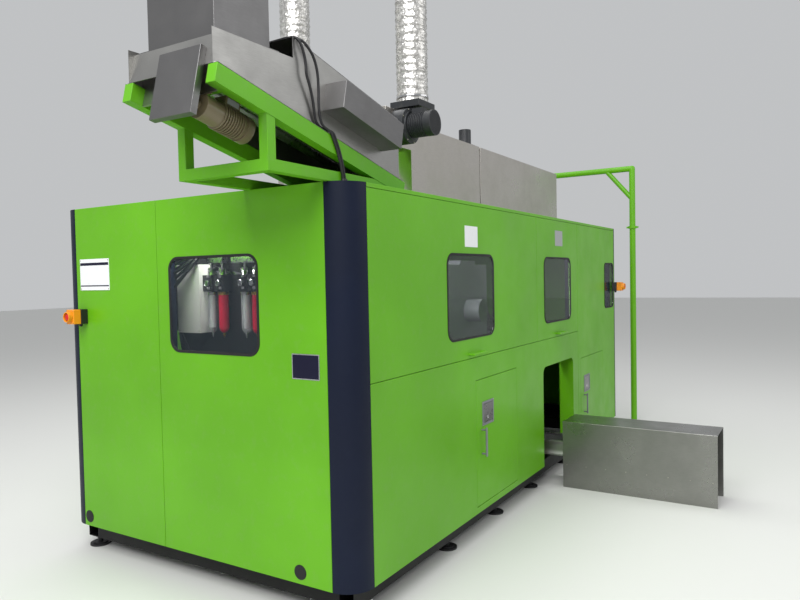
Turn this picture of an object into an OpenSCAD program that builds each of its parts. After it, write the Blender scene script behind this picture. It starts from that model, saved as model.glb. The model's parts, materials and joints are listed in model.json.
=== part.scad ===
// Stretch blow moulding machine: green cabinet with gull-wing doors, preform sorter on the roof,
// chain oven, clamp and stretch unit inside, covered discharge conveyor and lifting gantry.
// Frame: origin on the floor under the centre foot, +X along the long front, +Z up.
// Machine places: x from the left end face, y from the front face, z from the floor.

/* [Cabinet] */
// Length of the cabinet over its corner columns
cab_l = 4680; // [4600:10:5200]
// Depth of the cabinet over its corner columns
cab_w = 2150; // [2120:10:2500]
// Height of the panels' lower edge
skirt_z = 160; // [140:5:200]
// Height of the panels
panel_h = 1900; // [1880:10:2050]
// Outer radius of a corner column
corner_r = 140; // [125:5:160]
// Sheet thickness of the columns, roof and hoods
sheet_t = 3; // [2:0.5:4]
// Depth of a fixed panel's folded edge
panel_d = 40; // [36:1:50]
// Depth of a door's folded edge
door_d = 24; // [20:1:28]
// Sheet thickness of doors and panels
skin_t = 2; // [1.5:0.5:3]
// Gap round a door or between two panels
seam = 3; // [2.5:0.5:5]
// Height of the seam under the upper doors
belt_z = 1121; // [1100:1:1160]
// Height of the header strip above the upper doors
header_h = 20; // [18:1:40]
// Side of the square frame tube
tube = 60; // [50:5:70]

/* [Front] */
// Share of the cabinet's length to the left of the seam between the upper doors
door_split = 0.5017; // [0.495:0.0001:0.51]
// Length of the second upper door with its seams
door_2_l = 982; // [940:1:1010]
// Distance of the lower left door's left edge before the upper doors' seam
low_door_l_out = 1070; // [1030:1:1110]
// Width of the lower left door
low_door_l_w = 652; // [600:1:700]
// Distance of the lower right door behind the right panel's left edge
low_door_r_in = 70; // [60:1:100]
// Width of the lower right door
low_door_r_w = 700; // [640:1:760]
// Height of the lower doors' lower edge
low_door_z = 200; // [180:1:240]
// Height of the lower left door
low_door_l_h = 780; // [740:1:820]
// Height of the lower right door
low_door_r_h = 680; // [640:1:760]
// Distance of the bottle outlet behind the upper doors' seam
outlet_in = 112; // [90:1:130]
// Distance of the bottle outlet's right edge before the right panel
outlet_out = 140; // [110:1:170]
// Height of the bottle outlet's top
outlet_top = 915; // [880:1:960]
// Radius of the outlet's upper corners
outlet_r = 60; // [30:1:90]

/* [Windows] */
// Width of the door and end windows
win_w = 645; // [580:1:660]
// Height of the windows
win_h = 510; // [460:1:560]
// Corner radius of the windows
win_r = 70; // [40:1:100]
// Height of the windows' centre
win_z = 1495; // [1470:1:1510]
// Offset of the first window from its door's middle
win_1_off = 3.25; // [-40:0.25:40]
// Offset of the second window from its door's middle
win_2_off = -16; // [-30:1:30]
// Centre of the end window from the front face
win_end_y = 875; // [850:1:900]
// Width of the narrow window in the right panel
win_3_w = 330; // [280:1:360]
// Height of the narrow window
win_3_h = 440; // [400:1:480]
// Thickness of the panes
pane_t = 5; // [4:0.5:8]
// Width of the rubber window seal's face
seal_w = 14; // [10:1:20]
// Distance from the front face to the seam between the end panels
end_split_y = 1290; // [1250:1:1330]

/* [Doors] */
// Distance of the concealed hinge axis behind the outer face
hinge_in = 10; // [9:0.5:12]
// Diameter of a hinge pin
hinge_pin_d = 8; // [7:0.5:9]
// Running clearance of a pin in its bore, on the radius
pin_clear = 0.08; // [0.05:0.01:0.1]
// Outer diameter of a hinge barrel
barrel_d = 14; // [13:0.5:16]
// Width of a paddle latch
latch_w = 170; // [140:1:190]
// Height of a paddle latch
latch_h = 150; // [130:1:180]
// Length of a lower door's pull bar
pull_l = 176; // [150:1:220]
// Length of an upper door's bow handle
bow_l = 200; // [160:1:240]

/* [Base] */
// Height of the base beams
beam_h = 100; // [80:5:110]
// Width of the base beams
beam_w = 90; // [70:5:110]
// Distance of the base beams behind the faces
beam_in = 70; // [60:5:100]
// Diameter of a levelling foot's pad
foot_d = 120; // [100:5:140]

/* [Machine bed] */
// Height of the deck's upper face
deck_z = 1080; // [1070:1:1100]
// Thickness of the deck plate
deck_t = 12; // [10:1:20]
// Distance of the deck's edges behind the cabinet faces
deck_in = 220; // [210:5:240]
// Side of a bed leg
leg_w = 80; // [60:5:100]

/* [Chain oven] */
// Pitch of the preform carriers
pitch = 110; // [104:1:114]
// Distance of the left index wheel's centre before the bottle outlet
wheel_back = 1310; // [1290:1:1330]
// Distance of the chain's front run from the front face
run_y = 700; // [680:1:720]
// Height of the track's upper face above the deck
track_h = 100; // [95:1:110]
// Thickness of the track rails
track_t = 12; // [10:1:16]
// Diameter of a carrier body
carrier_d = 60; // [56:1:64]
// Height of a carrier body
carrier_h = 40; // [36:1:44]
// Diameter of a carrier's mandrel
mandrel_d = 22; // [20:1:24]
// Height of the mandrel above the carrier body
mandrel_h = 72; // [66:1:80]
// Bore through carrier and mandrel for the stretch rod
mandrel_bore = 13; // [12.5:0.5:14]
// Number of lamps in one lamp box
lamp_n = 8; // [5:1:9]
// Diameter of a quartz lamp
lamp_d = 12; // [10:1:14]
// Length of one lamp box
lamp_box_l = 900; // [800:10:950]

/* [Clamp] */
// Number of cavities
cavities = 4; // [2:1:4]
// Height of a bottle cavity above the neck face
bottle_h = 210; // [180:1:230]
// Diameter of a bottle cavity
bottle_d = 66; // [50:1:80]
// Thickness of one mould half
mould_t = 90; // [70:1:100]
// Travel of each mould half
clamp_stroke = 70; // [60:1:80]
// Diameter of a tie bar
tie_d = 45; // [40:1:50]
// Travel of the stretch rods
stretch_stroke = 330; // [300:1:335]
// Diameter of a stretch rod
rod_d = 10; // [8:0.5:11]
// Travel of the base mould
base_stroke = 60; // [40:1:80]

/* [Sorter] */
// Slope of the sorter in degrees
slope = 13; // [12:0.5:14]
// Distance of the sorter's upper end beyond the cabinet's left end
sort_out = 660; // [640:5:680]
// Height of the chord's top at the upper end above the cabinet roof
sort_rise = 367; // [360:1:380]
// Distance of the sorter's front side behind the front face
sort_y = 105; // [95:1:150]
// Width of the sorter frame
sort_w = 530; // [520:5:560]
// Length of the sorter along its slope
sort_l = 1360; // [1340:5:1380]
// Height of the sloping chord
chord_h = 76; // [60:1:80]
// Side of the sorter frame's square tube
sort_tube = 50; // [45:1:55]
// Distance of the sorter's posts beyond the cabinet's left end
sort_post_out = 400; // [380:5:430]
// Diameter of a sorting roller
roller_d = 60; // [50:1:64]
// Gap between the sorting rollers
roller_gap = 26; // [24:1:32]
// Diameter of a roller's shaft end
shaft_d = 20; // [16:1:24]
// Number of teeth on a roller gear
gear_n = 24; // [16:8:32]
// Height of the trough's rim above the chord's upper end
rim_h = 135; // [120:1:150]
// Height of the sorter cover above the chords
cover_h = 330; // [300:1:350]
// Distance from the sorter's upper end to the cover
cover_u = 460; // [450:1:470]
// Diameter of the kicker wheel over its paddles
kicker_d = 180; // [150:1:200]

/* [Roof] */
// Distance of the hoods behind the front face
hood_y = 400; // [380:5:450]
// Depth of the hoods
hood_w = 1100; // [900:10:1200]
// Height of the hoods above the roof
hood_h = 520; // [480:5:560]
// Distance of the first hood's left edge before the upper doors' seam
hood_back = 1108; // [1070:1:1110]
// Length of the first hood
hood_1_l = 1010; // [950:1:1050]
// Gap between the hoods
hood_gap = 12; // [8:1:30]
// Length of the second hood
hood_2_l = 1740; // [1600:1:1800]
// Diameter of the blower motor
fan_motor_d = 150; // [120:1:160]
// Outer diameter of the flexible ducts
duct_d = 200; // [180:1:210]
// Height of the ducts' upper ends
duct_top = 3500; // [3400:10:3600]

/* [Conveyor] */
// Distance of the discharge housing behind the outlet's left edge
house_in = 90; // [80:1:120]
// Width of the discharge housing
house_w = 310; // [300:1:330]
// Length of the discharge housing
house_l = 1075; // [900:5:1200]
// Distance of the housing from the front face
house_gap = 115; // [90:1:140]
// Height of the discharge housing
house_h = 500; // [450:5:560]
// Width of the belt
belt_w = 210; // [180:1:220]
// Height of the belt's top
belt_top = 330; // [300:1:360]

/* [Gantry] */
// Distance of the gantry posts from the cabinet's right end
gantry_out = 330; // [300:5:400]
// Distance of the front post before the front face
gantry_front = 80; // [60:5:120]
// Height of the gantry beam's centre
gantry_z = 2710; // [2600:5:2800]

/* [Hidden] */
$fn = 48;
eps = 0.01;
foot_stem_d = 30;
foot_t = 18;
lift_hole_d = 70;
lift_hole_h = 57;
barrel_l = 30;
pull_d = 14;
bow_d = 14;
link_t = 6;
wheel_t = 20;
lamp_gap = 32;
tube_t = 4;
plate_t = 45;
win_3_in = 27;
drum_d = 80;
fan_l = 165;
platen_t = 50;
hinge_edge = 22;
gantry_d = 60;
duct_pitch = 26;

green = "yellowgreen";
navy = "midnightblue";
steel = "silver";
dark = "dimgray";

roof_z = skirt_z + panel_h;
split_x = round(cab_l * door_split);
right_x = split_x + door_2_l;
low_door_l_x = split_x - low_door_l_out;
low_door_r_x = right_x + low_door_r_in;
outlet_x = split_x + outlet_in;
outlet_w = right_x - outlet_out - outlet_x;
house_x = outlet_x + house_in;
wheel_x = outlet_x - wheel_back;
hood_1_x = split_x - hood_back;
frame_in = panel_d;
frame_top = roof_z - sheet_t;
door_top = roof_z - header_h;
end_x = cab_l - corner_r;
rear_y = cab_w - corner_r;

module at(x, y, z) translate([x - cross_x[4] - beam_w / 2, y - cab_w / 2, z]) children();

module up(z) translate([0, 0, z]) children();
module along_x() rotate([0, 90, 0]) children();
module to_front() rotate([90, 0, 0]) children();
module to_back() rotate([-90, 0, 0]) children();

module rounded_rect(w, h, r) {
  square([w - 2 * r, h], center = true);
  square([w, h - 2 * r], center = true);
  for (sx = [-1, 1], sy = [-1, 1]) translate([sx * (w / 2 - r), sy * (h / 2 - r)]) circle(r);
}

module tube_x(l, w = tube, h = tube, t = tube_t) difference() {
  cube([l, w, h]);
  translate([-1, t, t]) cube([l + 2, w - 2 * t, h - 2 * t]);
}
module tube_y(l, w = tube, h = tube, t = tube_t) difference() {
  cube([w, l, h]);
  translate([t, -1, t]) cube([w - 2 * t, l + 2, h - 2 * t]);
}
module tube_z(l, w = tube, d = tube, t = tube_t) difference() {
  cube([w, d, l]);
  translate([t, t, -1]) cube([w - 2 * t, d - 2 * t, l + 2]);
}

// Folded sheet pan in its own plane: x along, z up, outer face at y = 0, open behind
module pan(w, h, d) difference() {
  cube([w, d, h]);
  translate([skin_t, skin_t, skin_t]) cube([w - 2 * skin_t, d, h - 2 * skin_t]);
}

// Cutter with a window's outline through a pan, centred on x and z
module win_cut(w, h, r, d) translate([0, d + 1, 0]) to_front()
  linear_extrude(d + 2) rounded_rect(w, h, r);

// Places shared by the panels, doors and hinges
door_1_x = corner_r + seam;
door_1_w = split_x - seam / 2 - door_1_x;
door_2_x = split_x + seam / 2;
door_2_w = right_x - seam / 2 - door_2_x;
win_1_x = door_1_x + door_1_w / 2 + win_1_off;
win_2_x = door_2_x + door_2_w / 2 + win_2_off;
up_door_z = belt_z + seam / 2;
up_door_h = door_top - seam - up_door_z;
up_hinge_z = door_top - seam - hinge_edge;
up_in = 150;
low_l_end = low_door_l_x + low_door_l_w;
low_r_end = low_door_r_x + low_door_r_w;
low_in = 110;
arm_t = 6;
arm_h = 6;
mid_post_x = split_x - tube / 2;
right_post_x = right_x - tube / 2;
rear_bays = 4;
rear_bay = (cab_l - 2 * corner_r) / rear_bays;
lift_near_y = 332;
lift_far_in = 47;

// Base beams under the skirt, with cross beams for the machine bed's legs
cross_x = [beam_in, deck_in + 110, wheel_x - pitch, (wheel_x - pitch + outlet_x - 20) / 2, outlet_x - 60,
  outlet_x + outlet_w - 10, cab_l - 500, cab_l - beam_in - beam_w];
foot_x = [for (i = [0, 2, 3, 4, 5, 7]) cross_x[i]];
module base_frame() color(dark) {
  for (y = [beam_in, cab_w - beam_in - beam_w]) at(beam_in, y, skirt_z - beam_h)
    tube_x(cab_l - 2 * beam_in, beam_w, beam_h);
  for (x = cross_x) at(x, beam_in + beam_w, skirt_z - beam_h)
    tube_y(cab_w - 2 * beam_in - 2 * beam_w, beam_w, beam_h);
}

foot_nut_h = 16;
foot_nut_w = 1.55;
module levelling_foot() {
  cylinder(d = foot_d, h = foot_t * 0.6);
  cylinder(d = foot_d * 0.72, h = foot_t);
  cylinder(d = foot_stem_d, h = skirt_z - beam_h);
  up(skirt_z - beam_h - foot_nut_h) cylinder(d = foot_stem_d * foot_nut_w, h = foot_nut_h, $fn = 6);
}
module levelling_feet() color(dark) {
  for (x = foot_x, y = [beam_in + beam_w / 2, cab_w - beam_in - beam_w / 2])
    at(x + beam_w / 2, y, 0) levelling_foot();
  levelling_foot();
}

// Posts stand on the base beams, rails run between them
gusset = 8;
post_h = frame_top - skirt_z;
far_post_x = cab_l - corner_r - tube;
far_post_y = cab_w - corner_r - tube;
rear_posts = [for (i = [1:rear_bays - 1]) corner_r + i * rear_bay - tube / 2];
front_posts = [corner_r, mid_post_x, right_post_x, far_post_x];
end_mid_y = end_split_y - tube / 2;
rail_z = [skirt_z, belt_z - tube, frame_top - tube];
low_posts = [low_l_end - seam - hinge_edge - tube / 2, low_r_end - seam - hinge_edge - tube / 2];
module frame_rails_x(y, stops, z)
  for (i = [0:len(stops) - 2]) at(stops[i] + tube, y, z) tube_x(stops[i + 1] - stops[i] - tube);
module cabinet_frame() color(navy) {
  for (x = front_posts) at(x, frame_in, skirt_z) tube_z(post_h);
  for (x = concat([corner_r], rear_posts, [far_post_x]))
    at(x, cab_w - frame_in - tube, skirt_z) tube_z(post_h);
  for (x = [frame_in, cab_l - frame_in - tube], y = [corner_r, end_mid_y, far_post_y])
    at(x, y, skirt_z) tube_z(post_h);
  for (z = [rail_z[1], rail_z[2]]) frame_rails_x(frame_in, front_posts, z);
  frame_rails_x(frame_in, [corner_r, mid_post_x], rail_z[0]);
  frame_rails_x(frame_in, [right_post_x, far_post_x], rail_z[0]);
  for (z = rail_z) frame_rails_x(cab_w - frame_in - tube, concat([corner_r], rear_posts, [far_post_x]), z);
  for (x = low_posts) at(x, frame_in, skirt_z + tube) tube_z(belt_z - 2 * tube - skirt_z);
  for (x = [frame_in, cab_l - frame_in - tube], z = rail_z) {
    at(x, corner_r + tube, z) tube_y(end_mid_y - corner_r - tube);
    at(x, end_mid_y + tube, z) tube_y(far_post_y - end_mid_y - tube);
  }
  for (x = [frame_in + tube, far_post_x], y = [frame_in + tube, far_post_y], z = [skirt_z, belt_z, frame_top - gusset])
    at(x, y, z) cube([corner_r - frame_in, corner_r - frame_in, gusset]);
}

// Rolled quarter column with a flange on each side against the corner posts
module column() {
  linear_extrude(panel_h) intersection() {
    difference() {
      circle(r = corner_r, $fn = 96);
      circle(r = corner_r - sheet_t, $fn = 96);
    }
    translate([-corner_r, -corner_r]) square(corner_r);
  }
  for (m = [0, 1]) mirror([m, -m, 0])
    translate([-sheet_t, -corner_r, 0]) cube([sheet_t, corner_r - frame_in, panel_h - sheet_t]);
}
module corner_columns() color(navy) {
  at(corner_r, corner_r, skirt_z) column();
  at(end_x, corner_r, skirt_z) mirror([1, 0, 0]) column();
  at(corner_r, rear_y, skirt_z) mirror([0, 1, 0]) column();
  at(end_x, rear_y, skirt_z) mirror([1, 0, 0]) mirror([0, 1, 0]) column();
}

// Roof sheet with a folded front lip, the preform slot and the air holes
slot_x = 640;
slot_l = 150;
slot_w = 120;
duct_1_x = hood_1_x - 220;
duct_1_y = 1130;
hood_hole_d = 320;
lip_l = cab_l - 2 * corner_r - 2 * seam;
module roof_panel() color(green) {
  difference() {
    at(0, 0, frame_top) linear_extrude(sheet_t) {
      translate([panel_d, corner_r]) square([cab_l - 2 * panel_d, cab_w - 2 * corner_r]);
      translate([corner_r, panel_d]) square([cab_l - 2 * corner_r, cab_w - 2 * panel_d]);
      for (i = [0, 1], j = [0, 1]) translate([i ? end_x : corner_r, j ? rear_y : corner_r]) intersection() {
        circle(r = corner_r - sheet_t - 0.3, $fn = 96);
        translate([i ? -1 : -corner_r, j ? -1 : -corner_r]) square(corner_r + 1);
      }
    }
    at(slot_x, slot_y, frame_top - 1) cube([slot_l, slot_w, sheet_t + 2]);
    at(duct_1_x, duct_1_y, frame_top - 1) cylinder(d = duct_d - 2 * duct_deep, h = sheet_t + 2);
    for (x = hood_holes) at(x, hood_y + hood_w / 2, frame_top - 1) cylinder(d = hood_hole_d, h = sheet_t + 2);
  }
  at(corner_r + seam, 0, door_top) difference() {
    cube([lip_l, panel_d, header_h]);
    translate([skin_t, skin_t, -1]) cube([lip_l - 2 * skin_t, panel_d - 2 * skin_t, header_h - sheet_t + 1]);
  }
  at(corner_r + seam, panel_d - 1, frame_top) cube([lip_l, 2, sheet_t]);
}

// Return flange round a door hole in a fixed panel, outer face at y = 0
module hole_rim(w, h) difference() {
  translate([-skin_t, 0, -skin_t]) cube([w + 2 * skin_t, panel_d - 0.3, h + 2 * skin_t]);
  translate([0, -1, 0]) cube([w, panel_d + 2, h]);
}

module end_pan(w) pan(w, panel_h, panel_d);
end_wide = end_split_y - corner_r - 1.5 * seam;
end_narrow = rear_y - end_split_y - 1.5 * seam;
module end_panels() color(green) {
  difference() {
    union() {
      at(0, corner_r + seam + end_wide, skirt_z) rotate([0, 0, -90]) end_pan(end_wide);
      at(0, rear_y - seam, skirt_z) rotate([0, 0, -90]) end_pan(end_narrow);
    }
    at(0, win_end_y, win_z) rotate([0, 0, -90]) win_cut(win_w, win_h, win_r, panel_d);
    for (y = [lift_near_y, rear_y - lift_far_in])
      at(-1, y, skirt_z + lift_hole_h) along_x() cylinder(d = lift_hole_d, h = panel_d + 2);
  }
  at(cab_l, corner_r + seam, skirt_z) rotate([0, 0, 90]) end_pan(end_wide);
  at(cab_l, end_split_y + seam / 2, skirt_z) rotate([0, 0, 90]) end_pan(end_narrow);
}
module rear_panels() color(green) for (i = [0:rear_bays - 1])
  at(corner_r + seam / 2 + (i + 1) * rear_bay - seam, cab_w, skirt_z)
    rotate([0, 0, 180]) pan(rear_bay - seam, panel_h, panel_d);

// Lower front sheet with the left door's hole and the bottle outlet
low_front_x = corner_r + seam;
low_front_w = right_x - seam / 2 - low_front_x;
low_front_h = belt_z - seam / 2 - skirt_z;
reveal_d = 120;
module outlet_outline(grow) {
  translate([-grow, 0]) square([outlet_w + 2 * grow, outlet_top - skirt_z - outlet_r]);
  translate([outlet_r, 0]) square([outlet_w - 2 * outlet_r, outlet_top - skirt_z + grow]);
  for (x = [outlet_r, outlet_w - outlet_r])
    translate([x, outlet_top - skirt_z - outlet_r]) circle(r = outlet_r + grow);
}
module front_lower_panel() color(green) {
  difference() {
    at(low_front_x, 0, skirt_z) pan(low_front_w, low_front_h, panel_d);
    at(low_door_l_x, -1, low_door_z) cube([low_door_l_w, panel_d + 2, low_door_l_h]);
    at(outlet_x, panel_d + 1, skirt_z - 1) to_front() linear_extrude(panel_d + 2) outlet_outline(0);
  }
  at(low_door_l_x, 0, low_door_z) hole_rim(low_door_l_w, low_door_l_h);
  at(outlet_x, reveal_d, skirt_z) to_front() linear_extrude(reveal_d) difference() {
    outlet_outline(skin_t);
    translate([0, -eps]) outlet_outline(0);
    translate([0, -1]) square([outlet_w, 2]);
  }
}
right_w = end_x - seam - right_x - seam / 2;
win_3_x = end_x - seam - win_3_in - win_3_w / 2;
module front_right_panel() color(green) {
  difference() {
    at(right_x + seam / 2, 0, skirt_z) pan(right_w, door_top - seam - skirt_z, panel_d);
    at(low_door_r_x, -1, low_door_z) cube([low_door_r_w, panel_d + 2, low_door_r_h]);
    at(win_3_x, 0, win_z) win_cut(win_3_w, win_3_h, win_3_r, panel_d);
  }
  at(low_door_r_x, 0, low_door_z) hole_rim(low_door_r_w, low_door_r_h);
}
win_3_r = 50;

// Hinge axis along local X, panel side towards +Y
module hinge_arm() {
  along_x() cylinder(d = barrel_d, h = barrel_l, center = true);
  translate([-arm_t / 2, 0, -arm_h]) cube([arm_t, panel_d - hinge_in, arm_h * 2]);
  along_x() cylinder(d = hinge_pin_d, h = 3 * barrel_l, center = true);
}
module door_barrels() for (s = [-1, 1]) translate([s * barrel_l, 0, 0]) difference() {
  union() {
    along_x() cylinder(d = barrel_d, h = barrel_l - 1, center = true);
    translate([-(barrel_l - 1) / 2, -hinge_in + skin_t - eps, -arm_h / 2]) cube([barrel_l - 1, hinge_in - skin_t, arm_h]);
  }
  along_x() cylinder(d = hinge_pin_d + 2 * pin_clear, h = barrel_l + 2, center = true);
}
// Slot in a door's folded edge that lets the hinge arm through
arm_slot = arm_t + 6;
module arm_notch() translate([-arm_slot / 2, -hinge_in + skin_t, 0]) cube([arm_slot, door_d, hinge_edge + 1]);

module up_hinges(x, w) {
  n = w > 1500 ? 2 : 1;
  for (i = [0:n]) at(x + up_in + i * (w - 2 * up_in) / n, hinge_in, up_hinge_z) children();
}
module low_hinges(x, h) for (i = [0:1])
  at(x - seam - hinge_edge, hinge_in, low_door_z + low_in + i * (h - 2 * low_in))
    rotate([0, -90, 0]) mirror([0, 0, 1]) children();

module concealed_hinges() color(steel) {
  up_hinges(door_1_x, door_1_w) hinge_arm();
  up_hinges(door_2_x, door_2_w) hinge_arm();
  low_hinges(low_l_end, low_door_l_h) hinge_arm();
  low_hinges(low_r_end, low_door_r_h) hinge_arm();
}

// Gull-wing door: folded pan with two upright stiffeners behind the window's sides
stiff_w = 40;
module stiffener(h) difference() {
  cube([stiff_w, door_d - skin_t - 2, h]);
  translate([skin_t, -1, -1]) cube([stiff_w - 2 * skin_t, door_d - 2 * skin_t - 1, h + 2]);
}
module upper_door(x, w, win_x) {
  difference() {
    at(x, 0, up_door_z) pan(w, up_door_h, door_d);
    at(win_x, 0, win_z) win_cut(win_w, win_h, win_r, door_d);
    up_hinges(x, w) arm_notch();
  }
  for (s = [-1, 1]) at(win_x + s * (win_w / 2 + stiff_w) - stiff_w / 2, skin_t - eps, up_door_z + skin_t)
    stiffener(up_door_h - 3 * hinge_edge);
  up_hinges(x, w) door_barrels();
}
module upper_door_1() color(green) upper_door(door_1_x, door_1_w, win_1_x);
module upper_door_2() color(green) upper_door(door_2_x, door_2_w, win_2_x);

// Lower doors, hinged on their right edge, with the paddle latch's hole
module low_door(x, w, h, lx, lz) {
  difference() {
    at(x + seam, 0, low_door_z + seam) pan(w - 2 * seam, h - 2 * seam, door_d);
    low_hinges(x + w, h) arm_notch();
    at(lx - case_w / 2, -1, lz - case_h / 2) cube([case_w, skin_t + 2, case_h]);
  }
  low_hinges(x + w, h) door_barrels();
}
latch_l_x = low_door_l_x + 170;
latch_l_z = 760;
latch_r_x = low_door_r_x + 177;
latch_r_z = 644;
case_w = latch_w - 24;
case_h = latch_h - 24;
module lower_door_left() color(green) low_door(low_door_l_x, low_door_l_w, low_door_l_h, latch_l_x, latch_l_z);
module lower_door_right() color(green) low_door(low_door_r_x, low_door_r_w, low_door_r_h, latch_r_x, latch_r_z);

// Latch case in the door's hole, with a rim in front; the paddle swings on a pin near its top
latch_pin_d = 6;
latch_pin_y = 5;
case_d = 20;
rim_out = 3;
wall_c = 3;
paddle_gap = 1;
pin_drop = wall_c + 10;
module latch_case() difference() {
  union() {
    translate([-latch_w / 2, -rim_out, -latch_h / 2]) cube([latch_w, rim_out - 0.3, latch_h]);
    translate([-case_w / 2 + 0.3, -rim_out, -case_h / 2 + 0.3]) cube([case_w - 0.6, rim_out + case_d, case_h - 0.6]);
  }
  translate([-case_w / 2 + wall_c + 0.3, -rim_out - 1, -case_h / 2 + wall_c + 0.3])
    cube([case_w - 2 * wall_c - 0.6, rim_out + case_d - wall_c + 1, case_h - 2 * wall_c - 0.6]);
  translate([0, latch_pin_y, case_h / 2 - pin_drop]) along_x()
    cylinder(d = latch_pin_d + 2 * pin_clear, h = latch_w + 2, center = true);
}
paddle_in = 2 * wall_c + 0.6 + 2 * paddle_gap;
module latch_paddle(w = case_w - paddle_in, h = case_h - paddle_in) {
  translate([-w / 2, -1, -h / 2]) cube([w, 4, h - 2.2]);
  translate([0, latch_pin_y, case_h / 2 - pin_drop]) along_x()
    cylinder(d = latch_pin_d, h = case_w - 2, center = true);
  translate([-w / 4, 2, case_h / 2 - pin_drop - 4]) cube([w / 2, latch_pin_y - 2, 8]);
}
module pull_bar() {
  cylinder(d = pull_d, h = pull_l);
  for (z = [pull_d, pull_l - pull_d]) up(z) to_back() cylinder(d = pull_d * 0.8, h = pull_out);
}
pull_out = 32;
pull_side = 93;
pull_gap = 6;
module lower_handle(x, z) {
  at(x, 0, z) latch_case();
  at(x - pull_side, -pull_out, z - latch_h / 2 - pull_gap - pull_l) pull_bar();
}
module lower_handle_left() color(dark) lower_handle(latch_l_x, latch_l_z);
module lower_handle_right() color(dark) lower_handle(latch_r_x, latch_r_z);
module latch_paddle_left() color(steel) at(latch_l_x, 0, latch_l_z) latch_paddle();
module latch_paddle_right() color(steel) at(latch_r_x, 0, latch_r_z) latch_paddle();

// Bow handle: a bar on two posts, its ends rounded off
bow_out = 34;
bow_1_x = win_1_x + 34;
bow_2_x = win_2_x + 23;
bow_up = 26;
module bow_handle() {
  along_x() cylinder(d = bow_d, h = bow_l - 2 * bow_d, center = true);
  for (s = [-1, 1]) translate([s * (bow_l / 2 - bow_d), 0, 0]) {
    sphere(d = bow_d);
    to_back() cylinder(d = bow_d, h = bow_out);
  }
}
module bow_handle_1() color(green) at(bow_1_x, -bow_out, up_door_z + bow_up) bow_handle();
module bow_handle_2() color(green) at(bow_2_x, -bow_out, up_door_z + bow_up) bow_handle();

// Rubber seal in a window's opening and the pane inside it
seal_out = 3;
seal_back = 6;
module seal(w, h, r) translate([0, seal_back, 0]) to_front() linear_extrude(seal_out + seal_back) difference() {
  rounded_rect(w - 0.6, h - 0.6, r);
  rounded_rect(w - 2 * seal_w, h - 2 * seal_w, r - seal_w);
}
module pane(w, h, r) translate([0, pane_t, 0]) to_front() linear_extrude(pane_t)
  rounded_rect(w - 2 * seal_w - 0.6, h - 2 * seal_w - 0.6, r - seal_w);
module door_pane_1() color("lightgray", 0.4) at(win_1_x, 0, win_z) pane(win_w, win_h, win_r);
module door_pane_2() color("lightgray", 0.4) at(win_2_x, 0, win_z) pane(win_w, win_h, win_r);
module door_seal_1() color("black") at(win_1_x, 0, win_z) seal(win_w, win_h, win_r);
module door_seal_2() color("black") at(win_2_x, 0, win_z) seal(win_w, win_h, win_r);
module fixed_panes() color("lightgray", 0.4) {
  at(0, win_end_y, win_z) rotate([0, 0, -90]) pane(win_w, win_h, win_r);
  at(win_3_x, 0, win_z) pane(win_3_w, win_3_h, win_3_r);
}
module fixed_seals() color("black") {
  at(0, win_end_y, win_z) rotate([0, 0, -90]) seal(win_w, win_h, win_r);
  at(win_3_x, 0, win_z) seal(win_3_w, win_3_h, win_3_r);
}

// Stop button box, its back on a panel, facing local -Y
stop_w = 72;
stop_h = 86;
stop_d = 92;
stop_ring_d = 62;
stop_ring_out = 26;
stop_l_y = 1950;
stop_l_z = 1423;
stop_r_in = 46;
stop_r_z = 1480;
stop_stand = seal_out + 0.3;
bracket_w = win_3_in - 4;
button_d = 40;
stem_d = 14;
button_travel = 6;
button_gap = 9;
module stop_box() difference() {
  union() {
    translate([-stop_w / 2, -stop_d, -stop_h / 2]) cube([stop_w, stop_d, stop_h]);
    to_front() cylinder(d = stop_ring_d, h = stop_d + stop_ring_out);
  }
  translate([0, -stop_d, 0]) to_front() cylinder(d = button_d + 10, h = stop_ring_out + 1);
  translate([0, -stop_d + 30, 0]) to_front() cylinder(d = stem_d + 0.6, h = 32);
}
module stop_button() translate([0, -stop_d - button_gap, 0]) {
  to_front() cylinder(d = button_d, h = 8);
  translate([0, -8, 0]) to_front() cylinder(d1 = button_d, d2 = button_d * 0.7, h = 6);
  to_back() cylinder(d = stem_d, h = button_gap + 20);
}
module stop_left() at(0, stop_l_y, stop_l_z) rotate([0, 0, -90]) children();
module stop_right() at(end_x - stop_r_in, -stop_stand, stop_r_z) children();
module stop_button_boxes() color("orange") {
  stop_left() stop_box();
  stop_right() stop_box();
  at(end_x - seam - win_3_in + 0.3, -stop_stand - eps, stop_r_z - stop_h / 3)
    cube([bracket_w, stop_stand + eps, stop_h / 1.5]);
}
module stop_button_left() color("firebrick") stop_left() stop_button();
module stop_button_right() color("firebrick") stop_right() stop_button();

// Chain geometry: both runs tangent to the index wheels, every carrier one pitch from the next
wheel_n = 16;
run_n = 20;
step = 360 / wheel_n;
wheel_r = pitch / (2 * sin(step / 2));
wheel_y = run_y + wheel_r;
back_y = run_y + 2 * wheel_r;
wheel_2_x = wheel_x + run_n * pitch;
half_n = run_n + wheel_n / 2;
track_z = deck_z + track_h;
function carrier_at(i) =
  i <= run_n ? [wheel_x + i * pitch, run_y] :
  i < half_n ? let (a = (i - run_n) * step) [wheel_2_x + wheel_r * sin(a), wheel_y - wheel_r * cos(a)] :
  i <= half_n + run_n ? [wheel_2_x - (i - half_n) * pitch, back_y] :
  let (a = (i - half_n - run_n) * step) [wheel_x - wheel_r * sin(a), wheel_y + wheel_r * cos(a)];

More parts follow.
